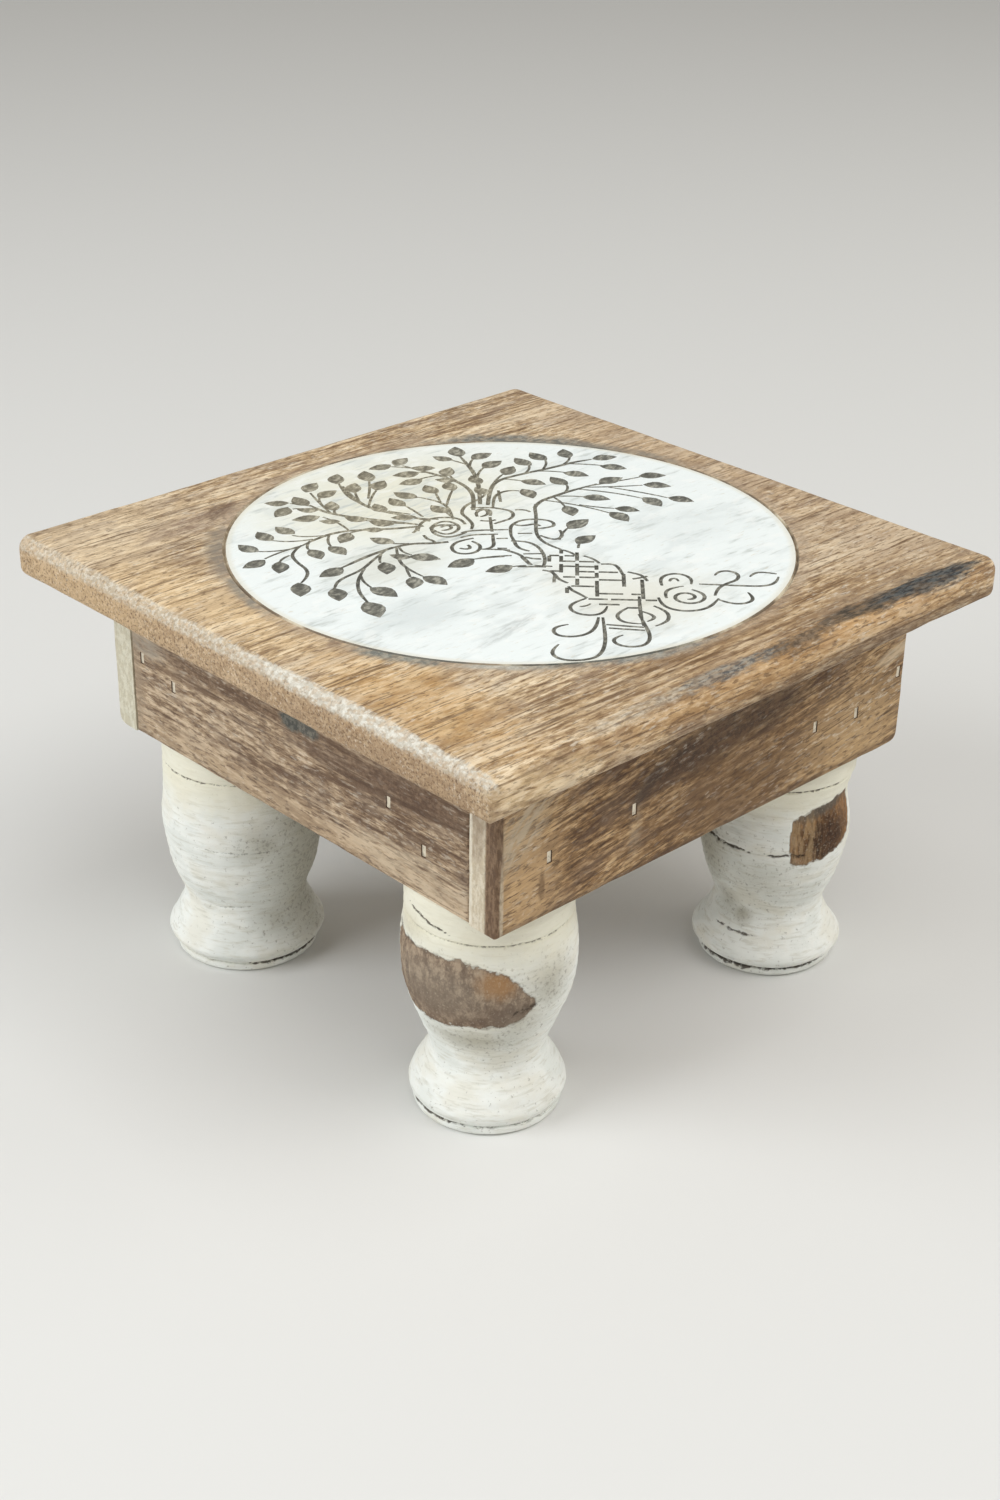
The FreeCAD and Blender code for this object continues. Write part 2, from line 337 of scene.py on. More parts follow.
slabMarks = [
    # the ends, where the end grain shows
    mark((-76, 0, 96), (1.6, 80, 9), (168, 140, 108), (196, 168, 134), square=True, ragged=0.15, soft=0.3,
        spots=(0.8, 1.4, 0.8), strength=0.8),
    mark((76, 0, 96), (1.6, 80, 9), (176, 148, 116), (202, 176, 142), square=True, ragged=0.15, soft=0.3,
        spots=(0.8, 1.4, 0.8), strength=0.8),
    mark((-76, -50, 94.5), (2.4, 34, 5), (150, 122, 94), grit=(1, 2, 1), soft=0.7, strength=0.55,
        broken=0.4),
    mark((-76, 50, 95), (2.4, 24, 5), (210, 180, 138), soft=0.7, strength=0.45),
    # chalk left along the left arris
    overMark((-75.1, 0, 100.1), (1.3, 78, 1.6), (186, 174, 154), (220, 214, 200), square=True, ragged=0.6,
        grit=(0.9, 1.6, 0.9), spots=(0.8, 1.0, 0.8), strength=0.8, broken=0.55),
    overMark((-74.8, -40, 100.6), (1.7, 36, 2.0), (206, 202, 190), (236, 234, 224), ragged=0.6,
        grit=(0.9, 1.6, 0.9), soft=0.3, strength=0.75, broken=0.6),
    # dark streak along the front right, and its fainter run to the left
    overMark((40, -70, 101), (24, 3.4, 3), (134, 112, 90), ragged=0.9, grit=(5, 1, 1), soft=0.6,
        strength=0.6, broken=0.5),
    overMark((31, -72.4, 100.6), (12, 2.2, 3.4), (60, 54, 46), (100, 88, 74), turn=(0, 0, -4), ragged=0.8,
        grit=(4, 1, 1), soft=0.35, spots=(3, 0.8, 0.8), strength=0.95, broken=0.3),
    overMark((53, -72.8, 100.6), (17.5, 2.6, 3.4), (38, 42, 46), (84, 88, 88), turn=(0, 0, -2),
        ragged=0.7, grit=(5, 1, 1), soft=0.3, spots=(3, 0.8, 0.8), strength=0.98, broken=0.15),
    overMark((10, -73.2, 100.5), (13, 1.9, 3), (82, 68, 54), (118, 102, 84), ragged=0.9, grit=(4, 1, 1),
        strength=0.9, broken=0.35),
    overMark((-12, -73, 100.6), (15, 1.8, 3), (84, 88, 90), (154, 150, 140), ragged=0.9, grit=(4, 1, 1),
        spots=(2, 0.8, 0.8), strength=0.9, broken=0.35),
    overMark((-36, -73.2, 100.4), (15, 1.8, 3), (146, 134, 118), (206, 196, 178), ragged=0.9,
        grit=(4, 1, 1), spots=(2, 0.8, 0.8), strength=0.6, broken=0.5),
    # dark lines along the grain at the front
    overMark((-22, -63.4, 101), (40, 0.5, 3), (112, 84, 54), turn=(0, 0, -1), ragged=0.9,
        grit=(6, 0.8, 0.8), strength=0.8, broken=0.5),
    overMark((-26, -66.4, 101), (46, 0.6, 3), (106, 78, 50), turn=(0, 0, -1), ragged=0.9,
        grit=(6, 0.8, 0.8), strength=0.85, broken=0.5),
    overMark((-20, -68.8, 101), (40, 0.5, 3), (118, 90, 62), turn=(0, 0, -1), ragged=0.9,
        grit=(6, 0.8, 0.8), strength=0.7, broken=0.6),
    # bare, golden and dusty places on the flat
    overMark((-42, 55, 101), (14, 4.4, 3), (134, 110, 92), (164, 142, 122), turn=(0, 0, 6), ragged=0.8,
        grit=(5, 1.2, 1.2), strength=0.8, broken=0.6),
    overMark((-34, 57, 101), (6, 2.6, 3), (104, 82, 66), turn=(0, 0, 24), ragged=0.7, grit=(4, 1, 1),
        strength=0.7, broken=0.4),
    mark((60, -52, 101), (15, 16, 3), (178, 154, 127), soft=0.7, strength=0.5),
    mark((68, 10, 101), (9, 60, 3), (192, 167, 138), soft=0.7, strength=0.5),
    mark((0, -66, 101), (60, 7, 3), (172, 140, 100), soft=0.7, strength=0.4),
    mark((-64, -44, 101), (11, 24, 3), (204, 160, 100), (222, 186, 134), ragged=0.8, grit=(6, 4, 4),
        soft=0.6, spots=(4, 3, 3), strength=0.55),
    mark((-67, 20, 101), (8, 28, 3), (238, 208, 162), ragged=0.7, grit=(6, 4, 4), soft=0.7, strength=0.5),
    mark((-62, 62, 101), (22, 16, 3), (238, 218, 186), ragged=0.6, grit=(6, 4, 4), soft=0.7, strength=0.4),
    mark((30, -73.4, 101), (40, 2.6, 3), (194, 148, 90), ragged=0.6, grit=(5, 1, 1), soft=0.6,
        strength=0.6),
    # dust and smudges that follow the roundel's rim
    overMark((0, 0, 101), (90, 90, 5), (156, 138, 120), (184, 162, 138), ragged=0.2, strength=0.6,
        broken=0.4, rim=4.5),
    overMark((48, 47, 101), (18, 18, 5), (104, 106, 102), (150, 148, 138), grit=(4, 2, 2), strength=0.95,
        broken=0.35, rim=6.5),
    overMark((63, 26, 101), (8, 14, 5), (128, 124, 114), ragged=0.6, strength=0.7, broken=0.4, rim=4.0),
    overMark((-48, 38, 101), (11, 14, 5), (134, 126, 114), ragged=0.6, strength=0.8, broken=0.4, rim=6.0),
    overMark((-59, 18, 101), (5, 10, 5), (140, 138, 128), ragged=0.6, strength=0.75, broken=0.4, rim=3.5),
    overMark((-55, -27, 101), (8, 9, 5), (112, 118, 114), (154, 154, 144), ragged=0.6, grit=(3, 1.5, 1.5),
        strength=0.9, broken=0.3, rim=4.5),
    overMark((-37, -50, 101), (9, 8, 5), (116, 110, 100), (148, 138, 124), ragged=0.6, grit=(3, 1.5, 1.5),
        strength=0.8, broken=0.3, rim=3.0),
    overMark((-17, -59, 101), (17, 6, 5), (118, 124, 122), (160, 160, 152), ragged=0.7,
        grit=(4, 1.4, 1.4), strength=0.85, broken=0.4, rim=3.6),
    overMark((-43.5, -46, 101), (9, 9, 5), (178, 178, 168), (206, 204, 194), ragged=0.7,
        grit=(2, 1.2, 1.2), spots=(1, 1, 1), strength=0.75, broken=0.5, rim=3.0),
    # the front face: pale streaks at the near corner, darker wood towards the right
    overMark((-64, -76, 97), (13, 2.2, 5), (222, 194, 148), ragged=0.8, grit=(5, 1, 1), soft=0.6,
        strength=0.35, broken=0.8),
    mark((8, -76, 97.8), (66, 2.6, 3.2), (188, 144, 90), (206, 164, 110), grit=(6, 1, 1), soft=0.6,
        spots=(5, 1, 1), strength=0.5),
    overMark((30, -76, 93.4), (38, 2.2, 2.4), (96, 69, 43), ragged=0.8, grit=(5, 0.8, 0.8), soft=0.6,
        strength=0.8, broken=0.35),
]

# The carved tree. Its places are in mm from the middle of the table, x then y.
treeLines = {
    # widths in mm, and how wide the two ends are as shares of the width
    "bough": {"width": 1.08, "ends": (0.9, 0.5)},
    "twig": {"width": 0.82, "ends": (0.7, 0.6)},
    "root": {"width": 0.84, "ends": (0.7, 0.5)},
    "thin": {"width": 0.86, "ends": (0.8, 0.8)},
    "plait": {"width": 0.92, "ends": (0.9, 0.9)},
    "scrollStep": 30,  # degrees
}

leafShape = {
    "growth": 1.1,
    "widthShare": 0.6,
    "depth": 0.75,
    "fullerShare": 0.22,
    "bend": 0.35,
    "around": 10,
    "along": 8,
}

boughs = [
    [(-8, 9.6), (-11, 11), (-13.5, 13.4), (-17, 15), (-21, 15.3)],
    [(-19, 15.2), (-25, 15.4), (-30, 14.7), (-34.5, 14.1)],
    [(-6, 20), (-10.5, 22), (-16, 26), (-21, 29.4), (-27, 30.3), (-33, 29)],
    [(-6.5, 21.5), (-10, 27), (-13, 32), (-16, 37), (-17.4, 42), (-17, 46)],
    [(-3, 21), (-5, 27), (-7.5, 33), (-8, 38), (-6.6, 44), (-4, 50)],
    [(8.5, 19.5), (12, 23), (16, 28), (17.8, 34), (17.3, 40), (16, 46), (15, 51)],
    [(12, 21), (18, 27.5), (24, 35.5), (27.5, 42.5), (29.3, 46.5)],
    [(13, 19.5), (19, 25.5), (25, 29.5), (33, 28.3), (41, 26.6), (48, 25.8), (51.4, 24.4)],
    [(19.8, 11.4), (22.8, 13.4), (28, 13.5), (34, 13.3), (41, 12.4)],
]

twigs = [
    [(-21, 15.2), (-27, 12.8), (-32, 10.3), (-38, 9.8), (-41, 8.3), (-42.6, 6.6)],
    [(-31, 10.6), (-35, 8), (-39, 3.5), (-41, -0.5), (-42, -3.6)],
    [(-33.5, 9), (-36, 6), (-36.4, 2.2)],
    [(-23.5, 14), (-25.6, 12.4), (-26.6, 10.6)],
    [(-18.6, 14.6), (-22, 10.5), (-24.6, 5), (-24.6, -0.6)],
    [(-24.3, 5), (-25.8, 2.6), (-26.8, 0.8)],
    [(-18, 14.4), (-19.6, 12), (-18.8, 9.4)],
    [(-15, 14.6), (-17.2, 16), (-17.8, 17.2)],
    [(-33, 29.2), (-37.5, 27.6), (-39.6, 23), (-40.4, 18), (-43, 15), (-45.8, 13.6)],
    [(-33, 29), (-39, 29.6), (-43.6, 28.6)],
    [(-35, 28.8), (-39.6, 30), (-42, 32.6)],
    [(-29, 30.2), (-34, 31.8), (-36, 35.4)],
    [(-26, 30.3), (-30.4, 32.4), (-31, 35)],
    [(-38.4, 26.6), (-41, 26.4), (-42.4, 25)],
    [(-30, 30), (-33, 28), (-33.4, 26.4)],
    [(-25, 29.6), (-28, 27), (-28.6, 24.6)],
    [(-17, 26.6), (-19.4, 27.8), (-21, 27.4)],
    [(-20, 29), (-18.4, 34), (-19.4, 38.6)],
    [(-17.3, 42.4), (-19.4, 46), (-21.4, 46.8)],
    [(-17, 45), (-18.6, 48.4), (-19.8, 49.8)],
    [(-16.4, 37.4), (-15.6, 39.4), (-14.8, 40)],
    [(-16.6, 39), (-14.6, 46), (-12.2, 51.8)],
    [(-15.2, 43.4), (-14.2, 46.6), (-12.6, 48)],
    [(-9.6, 26.6), (-12.8, 29.6), (-13.6, 30.8)],
    [(-6.4, 21.4), (-9, 25), (-10.6, 25.8)],
    [(-7.9, 37), (-7.8, 43), (-5.2, 49), (-3.6, 52)],
    [(-7.6, 39.6), (-5.6, 43.6), (-4.2, 45.4)],
    [(-7.7, 36.6), (-3.4, 41), (0.4, 43.2)],
    [(-4.6, 40.4), (0.6, 45.6), (2.8, 48.8)],
    [(-3.6, 27), (-5.6, 30), (-6, 31.8)],
    [(-2.6, 24), (-1.4, 29), (-1.2, 31.8)],
    [(-1, 20.6), (-3.6, 23.4), (-4.6, 25)],
    [(2.2, 18.6), (2.4, 20.6), (3, 22.4)],
    [(1.4, 18.4), (5.4, 23.8), (6.4, 29), (4.4, 33.6)],
    [(6.3, 28), (8, 31), (9, 32.6)],
    [(6, 25.6), (10.4, 29.6), (13, 31.4)],
    [(17.2, 40.6), (14.2, 41.8), (12, 41.8)],
    [(16.6, 43.6), (15.4, 45), (14.4, 45.6)],
    [(17.9, 36), (18.6, 38), (19, 38.8)],
    [(16, 47.4), (14, 51), (12, 52.6)],
    [(18.6, 28.4), (20.4, 30.4), (21, 31)],
    [(14.6, 23.6), (16.6, 24.4), (17.4, 25)],
    [(26.8, 41.4), (26.6, 44.6), (26, 46)],
    [(25.6, 39), (28.6, 42.6), (30.6, 43.2)],
    [(21.4, 32), (25, 36.2), (28.6, 37.4)],
    [(21.6, 27.4), (26, 30.4), (28.8, 31.2)],
    [(33, 28.3), (36.2, 29.4), (37.4, 31.4)],
    [(38, 27.4), (41.4, 29), (42.8, 31.4)],
    [(43, 26.3), (46.6, 27), (48.4, 28.8)],
    [(45, 26.2), (48.4, 23), (50.4, 19.8)],
    [(36, 27.6), (39, 25.4), (40.6, 22.4)],
    [(26.6, 29.2), (28.4, 27), (29.4, 25)],
    [(31, 13.3), (34.4, 14.6), (35.2, 16.8)],
    [(12.6, 17.4), (16, 21), (19.6, 23.4), (23.4, 22.8), (24.4, 21)],
    [(38, 12.9), (45, 10.6), (51.6, 8.8)],
    [(37, 13), (43, 8), (48.2, 4.8)],
    [(41.4, 9.2), (45, 2), (46.8, -4.4)],
    [(35, 13.3), (40.4, 6), (42.2, -0.8)],
    [(28.4, 13.2), (31.6, 10.6), (33, 8.6)],
    [(24.6, 13.2), (29, 6), (30.2, -2)],
    [(28.6, 6), (31, 1.4), (33, -0.8)],
    [(27.6, 13.2), (26.8, 9.6), (25.4, 7.4)],
    [(-4.6, -4.4), (-7.4, -2.2), (-10.8, -0.9)],
    [(-4.4, -11), (-5.4, -10.2), (-7, -9.4)],
    [(10.8, -5.6), (14, -3), (17.2, -2)],
    [(10.6, -11.6), (11.6, -10.6), (12.6, -10)],
]

# A leaf is the x and y of its middle, its heading from stalk to tip in degrees, and its length in mm
leaves = [
    (-48.2, 11.2, 235, 6.6), (-44.1, 4.2, 240, 6.2), (-43.4, -6.4, 250, 7.6), (-36.1, -1.4, 280, 6.8),
    (-37.6, 13.8, 186, 6.4), (-27.7, 7.8, 235, 6), (-17.7, 6.4, 305, 6.4), (-28.3, -1.7, 228, 5.8),
    (-24.2, -4, 278, 6.2), (-13.9, -0.7, 178, 6.8), (-9.9, -8.3, 168, 6.2), (-44.2, 23, 232, 5.8),
    (-47, 28, 184, 5.8), (-42.6, 35.5, 98, 5.6), (-35.8, 38.4, 84, 5.8), (-30.4, 38.2, 96, 5.6),
    (-34, 23.4, 256, 5.6), (-29.2, 21.8, 268, 5.6), (-18.2, 19.8, 112, 5.6), (-23.5, 26.3, 214, 5.8),
    (-22.6, 40.6, 158, 6), (-24.4, 47, 206, 6), (-17, 49.2, 82, 6), (-21.8, 52, 140, 5.2),
    (-13.4, 42.2, 58, 5.4), (-9.9, 54.2, 28, 6), (-9.8, 48.5, 10, 5.8), (-14.4, 33.2, 112, 5.4),
    (-11.8, 27.4, 120, 5.4), (-2, 54.4, 50, 6), (-2.6, 47.5, 48, 5.8), (2.8, 44.8, 32, 6),
    (4.4, 51.2, 62, 6.4), (-6.3, 34.3, 74, 5.4), (-1.1, 34.4, 84, 5.6), (-6, 26.8, 146, 5.2),
    (3.3, 25, 88, 5.6), (3.2, 36.4, 108, 6), (9.9, 35.2, 76, 5.6), (14.6, 33.7, 62, 5.4),
    (9.5, 41.9, 172, 6), (12, 46.3, 158, 6.2), (10.4, 53.8, 168, 5.6), (16.4, 53, 20, 5.6),
    (20.3, 40.8, 40, 5.8), (21.9, 32.9, 72, 5.2), (18.2, 26.8, 84, 5.2), (31, 49.2, 58, 6.4),
    (25.4, 48.3, 112, 5), (33.3, 43.2, 0, 6), (31.4, 37.5, 6, 6.2), (31.6, 31.9, 28, 5.8),
    (38.1, 34.1, 84, 5.8), (43.3, 34.3, 84, 6), (49.6, 31.2, 58, 5.8), (54.4, 23, -26, 5.8),
    (51.4, 17.2, -58, 6), (41.6, 19.9, -62, 5.8), (30.4, 22.7, -64, 5.8), (35.7, 19.6, 84, 5.8),
    (24.6, 18.6, 250, 5.8), (44.9, 11.7, -8, 6.4), (54.3, 7.4, -36, 6), (50.6, 2.4, -52, 6),
    (48.2, -7.2, -66, 5.8), (42.3, -3.8, 262, 6.2), (34.4, 6.2, -56, 6), (30.2, -5, 262, 6.2),
    (34.6, -3.3, -58, 5.4), (24.3, 4.9, 240, 5.8), (20.4, -2, 8, 6.8), (15.3, -9.4, 6, 6),
    (17.8, 46.7, 135, 5.2), (16.5, 37.4, 135, 4.8), (-19.1, 44.2, 135, 4.6), (-19.7, 35.8, 135, 4.4),
    (-15.6, 25.8, 135, 4.4), (-21, 10.6, 120, 4.6),
]

roots = [
    [(-7, -31.4), (-10.8, -31), (-13.4, -32.8), (-13.8, -35.8), (-12, -38.4), (-9, -38.8), (-6.6, -37)],
    [(-11, -33.4), (-9.6, -34.4), (-8.2, -33.8)],
    [(-11.8, -39.6), (-14.6, -42), (-18.4, -43.8), (-21.8, -43.2), (-24.2, -40.6), (-23.4, -38),
     (-21, -37), (-18.8, -38)],
    [(-11.2, -40.2), (-15, -44.4), (-19.6, -49.2), (-24.4, -52.4), (-27.8, -52), (-30.8, -49.8),
     (-31.6, -46.8), (-29.8, -44.2), (-26.8, -43.3)],
    [(-4.6, -44), (-7.8, -49), (-11, -53.4), (-14.6, -55.2), (-17.6, -53.4), (-18.4, -50.6),
     (-16.8, -48.4), (-14.2, -48.8)],
    [(-4.2, -40.4), (-7.4, -40.6), (-9.6, -42.8), (-9.6, -45.6), (-7.6, -47.6)],
    [(0.6, -43.2), (0.8, -46.2), (-0.8, -49), (-3.6, -50.6), (-6.4, -50.2)],
    [(1.8, -38), (-1.4, -41.2), (-4.6, -44.6), (-8.2, -48.6)],
    [(-3.2, -43.6), (-2.6, -46), (-4, -47.9), (-6, -47.6)],
    [(4.4, -41), (2.4, -43.6), (2, -46.8), (3.8, -49.8), (7.2, -51.4), (10.8, -50.8), (13.4, -49.6)],
    [(5.4, -42.4), (7, -40.2), (10, -39.4), (12.6, -40.6)],
    [(9.4, -37.4), (11, -35.2), (13.6, -34), (16.2, -34.8), (17.2, -37.2), (16.2, -39.8), (14.4, -41)],
    [(12.2, -37), (13.4, -36), (14.5, -37), (13.6, -38.2)],
    [(12.9, -49.8), (13, -52.4), (14.8, -54.8), (17.6, -55.2), (19.4, -53.6), (20.2, -51.6)],
    [(13.8, -48.2), (16.6, -46.2), (20, -45.6), (23.6, -46), (26, -44), (25.8, -41.4), (23.4, -40.2),
     (21.6, -41.2)],
    [(15.8, -42), (18.6, -45), (21.8, -48.6), (25.2, -52), (28.6, -52.4), (31.2, -50.6)],
    [(32, -49.4), (30.8, -46.8), (28.6, -45.8), (26.6, -46.6)],
]

# A scroll turns round a centre, from one radius and angle to another
scrolls = [{"at": (9.0, -44.9), "radii": (4.1, 1.0), "angles": (30, -500)}]

# The knot where the boughs leave the trunk, and the trunk's curved edges
knot = [
    [(7.3, -9.8), (7, -6.5), (7.6, -3.2), (9.4, 0.2), (13, 4), (17, 8), (19.8, 11.4), (21.6, 12.8)],
    [(-9, 18.5), (-6.5, 21), (-4, 22), (-1.5, 22), (1, 20.5), (2.5, 18.5), (2.5, 16.5), (1.5, 14.5)],
    [(-2, -2.7), (-1, -5.1), (-2.4, -8.8), (-3.4, -11.5)],
    [(-1.4, -7.4), (-1, -9.3), (0.4, -10.6)],
    [(-6.3, -10.2), (-4, -12), (-1.8, -14.3)],
    [(-2.9, -18.1), (-4.7, -19.7), (-6.3, -21.2)],
    [(7.3, -30.9), (8.8, -31.6), (10.7, -32)],
    [(-1.5, 11), (-4, 10.8), (-6.5, 11.5), (-7.5, 14), (-6.5, 17), (-4.5, 18.5), (-2, 17.5), (-0.5, 15.5)],
    [(-5.8, 18), (-2.5, 19.8), (0.4, 18), (-0.3, 14), (-4, 12.3), (-6.6, 13.8), (-5.8, 18)],
    [(-3.8, 16.8), (-2, 17.2), (-1.6, 15.4), (-3.4, 14.4), (-4.8, 15.4)],
    [(-4, 6.5), (-3.8, 4.5), (-5, 2.5), (-7.5, 1.3), (-10, 2.2), (-11, 4.2), (-10, 6.6), (-8, 8),
     (-5.5, 8.4), (-2.5, 7.5)],
    [(-6, 5.6), (-6.4, 4), (-8, 3.8), (-8.6, 5.4)],
    [(-2.5, 11.5), (-0.5, 11.3), (2.5, 9.2), (6.5, 6)],
    [(-4.5, 9.6), (-2, 9.4), (0.6, 7.6), (3, 5.6)],
    [(14, 23.5), (10, 23), (7, 21.5), (5, 19.5), (4.5, 17.5), (3.5, 15), (2.5, 13), (0.5, 11.5)],
    [(6.5, 16), (7.5, 17.8), (9.5, 18.5), (11.3, 17.8), (10.8, 16), (9, 14.5)],
    [(8.5, 14), (5.6, 10.6), (3, 7.5)],
    [(2, 6.2), (0, 4), (-2, 1.5), (-4, 1), (-5, 1.5)],
    [(6.5, 10.5), (9, 10.4), (11.5, 10.2), (13.8, 11.8), (14.5, 14), (13.5, 16.2), (12.8, 17.8), (9, 21)],
    [(5.5, 14), (6.4, 12), (8.4, 12)],
    [(8.6, 18.7), (10.5, 19.2), (10.8, 17.2), (8.8, 15), (7, 15.6)],
    [(15.6, 13.4), (18, 11.8), (17.2, 10.2)],
    [(14.8, -1.7), (13.6, -4), (11.2, -5.2), (9.5, -4.2), (9.4, -1)],
    [(-2.7, -0.4), (-0.4, -4.6), (-2, -7.7)],
    [(-6, 2.4), (-3.4, 0), (-1.2, -2.6)],
    [(-13.2, -43.1), (-10.9, -46.1), (-8.5, -49.1)],
    [(-14, -44.6), (-11.8, -47.4), (-9.4, -50.2)],
    [(21, 24.5), (18.5, 21.5), (16.5, 19)],
    [(4.5, 3), (7, 6), (9, 7.5), (12, 8.2), (15, 6.8), (17, 4), (16.6, 1.6), (14.5, 0.5), (11, 2.5)],
    [(9.5, 7.2), (9.8, 6), (11.5, 5), (13.6, 4.4), (13.2, 2.8)],
    [(6.5, 3), (9, 1)],
    [(1, 4), (3, 2.5)],
    [(-2.5, 0), (-1, -1.5)],
    [(-9, -1.5), (-6, -2.8), (-3, -5)],
    [(-9.5, 16), (-10.5, 14), (-10, 12.5), (-10.5, 11)],
    [(-10.5, 18.5), (-8.5, 19), (-7, 21)],
    [(-0.5, -6), (2.5, -8.5)],
    [(-2, -7), (-2.6, -8.6), (-3.5, -11)],
    [(-1, -9), (0.5, -10.5)],
    [(2.5, 1), (4.5, -1), (5, -3.5), (4.3, -6.2), (2.5, -9.3), (0, -12.3), (-2.5, -14)],
    [(4.5, 3), (3, 0.5), (1.4, -1.8), (0.9, -4.2), (1.6, -5.8)],
    [(7.3, -10), (8, -12), (7.2, -14.5)],
    [(8.4, -15.4), (9.2, -18), (8, -20.5)],
    [(8, -21), (10, -22.4), (9.6, -24.8), (7.4, -28)],
    [(9.2, -27.6), (10.2, -30), (9.8, -32), (8.8, -33.8)],
    [(-3.1, -12.1), (-0.6, -15)],
    [(-3.6, -15), (-2.6, -16.4), (-3.2, -18.4), (-4.6, -21), (-4.3, -23.4)],
    [(-5.4, -24.6), (-6.4, -26.4), (-6.4, -28.6), (-6.8, -31.4)],
]

# The plait's straight cuts, in mm. A rising one is where x less y is the first number, from the second to
# the third value of x plus y. A falling one is where x plus y is the first number.
plait = {
    "rising": [
        (13.4, -7.5, -12), (17, -2.6, -5.6), (17, -7.4, -12), (17, -13.6, -20), (21.8, -4.4, -10.8),
        (21.8, -13, -22), (21.8, -24.4, -29), (18.8, -31, -35), (27.6, -14, -17.4),
        (27.6, -19.6, -23.4), (27.6, -25.6, -37), (35.6, -20, -29.4), (41, -24, -38),
    ],
    "falling": [
        (-7.2, 13.4, 16.4), (-7.2, 18, 21), (-11.4, 17.6, 21.3), (-11.4, 22.4, 27), (-15.2, 17.6, 21.2),
        (-15.2, 22.4, 27), (-19, 13.6, 16.4), (-19, 22.4, 27), (-19, 28.2, 34), (-23.2, 17.6, 21.2),
        (-23.2, 22.4, 27), (-24.8, 28.2, 35.2), (-29.8, 20, 26.8), (-34.8, 28.2, 35.2),
        (-34.8, 37.6, 40.4), (-38.8, 25, 30.6), (-38.8, 31.6, 40.4), (-38.8, 41.6, 45), (-42.4, 28, 34),
        (-44.4, 36, 40),
    ],
}


def meshFrom(name, bm):
    mesh = bpy.data.meshes.new(name)
    bm.to_mesh(mesh)
    bm.free()
    return mesh


def smoothLine(points, step):
    # a smooth line through the points, as places about one step apart
    places = [Vector(point) for point in points]
    places = [2 * places[0] - places[1]] + places + [2 * places[-1] - places[-2]]
    made = []
    for first, second, third, fourth in zip(places, places[1:], places[2:], places[3:]):
        count = max(2, round((third - second).length / step))
        for index in range(count):
            share = index / count
            bend = 2 * first - 5 * second + 4 * third - fourth
            twist = 3 * second - first - 3 * third + fourth
            made.append(second + ((third - first) * share + bend * share ** 2 + twist * share ** 3) / 2)
    return made + [places[-2]]


def plaitLines():
    made = []
    for across, start, stop in plait["rising"]:
        made.append([(along, across) for along in (start, (start + stop) / 2, stop)])
    for along, start, stop in plait["falling"]:
        made.append([(along, across) for across in (start, (start + stop) / 2, stop)])
    return [[Vector((along + across, along - across)) / 2 for along, across in line] for line in made]


def scrollLine(scroll):
    made = []
    count = round(abs(scroll["angles"][1] - scroll["angles"][0]) / treeLines["scrollStep"])
    for index in range(count + 1):
        ends = (scroll["radii"], scroll["angles"])
        radius, angle = [first + (last - first) * index / count for first, last in ends]
        angle = math.radians(angle)
        made.append(Vector(scroll["at"]) + radius * Vector((math.cos(angle), math.sin(angle))))
    return made


def grooveCutter(name, route, line, material):
    # a round gouge drawn along a smooth line, narrower at its ends
    data = bpy.data.curves.new(name, "CURVE")
    data.dimensions = "3D"
    data.bevel_depth = line["width"] / 2 * mm
    data.bevel_resolution = 1
    data.resolution_u = 4
    data.use_fill_caps = True
    spline = data.splines.new("NURBS")
    spline.points.add(len(route) - 1)
    for point, place in zip(spline.points, route):
        point.co = (place[0] * mm, place[1] * mm, slab["surface"] * mm, 1)
    spline.points[0].radius, spline.points[-1].radius = line["ends"]
    spline.order_u = 3
    spline.use_endpoint_u = True
    holder = bpy.data.objects.new(name, data)
    scene.collection.objects.link(holder)
    bpy.context.view_layer.update()
    mesh = bpy.data.meshes.new_from_object(holder)
    bpy.data.objects.remove(holder)
    return cutterFrom(mesh, material)


def cutterFrom(mesh, material):
    bm = bmesh.new()
    bm.from_mesh(mesh)
    bmesh.ops.remove_doubles(bm, verts=bm.verts, dist=1e-6)
    bmesh.ops.recalc_face_normals(bm, faces=bm.faces)
    if bm.calc_volume(signed=True) < 0:
        bmesh.ops.reverse_faces(bm, faces=bm.faces)
    bm.to_mesh(mesh)
    bm.free()
    mesh.materials.clear()
    mesh.materials.append(material)
    return bpy.data.objects.new(mesh.name, mesh)


def leafCutter(name, leaf, material):
    x, y, heading, length = leaf
    length *= leafShape["growth"]
    width = length * leafShape["widthShare"]
    spin = math.radians(heading)
    bm = bmesh.new()
    bmesh.ops.create_uvsphere(bm, u_segments=leafShape["around"], v_segments=leafShape["along"], radius=1.0)
    for vert in bm.verts:
        along = vert.co.z
        narrow = math.sqrt(max(0.0, 1 - along * along))
        fuller = 1 - leafShape["fullerShare"] * along
        flat = Vector((
            along * length / 2,
            vert.co.y * narrow * fuller * width / 2 + leafShape["bend"] * (1 - along * along),
            vert.co.x * leafShape["depth"],
        ))
        turned = Vector((
            flat.x * math.cos(spin) - flat.y * math.sin(spin),
            flat.x * math.sin(spin) + flat.y * math.cos(spin),
            flat.z,
        ))
        vert.co = (turned + Vector((x, y, slab["surface"]))) * mm
    return cutterFrom(meshFrom(name, bm), material)


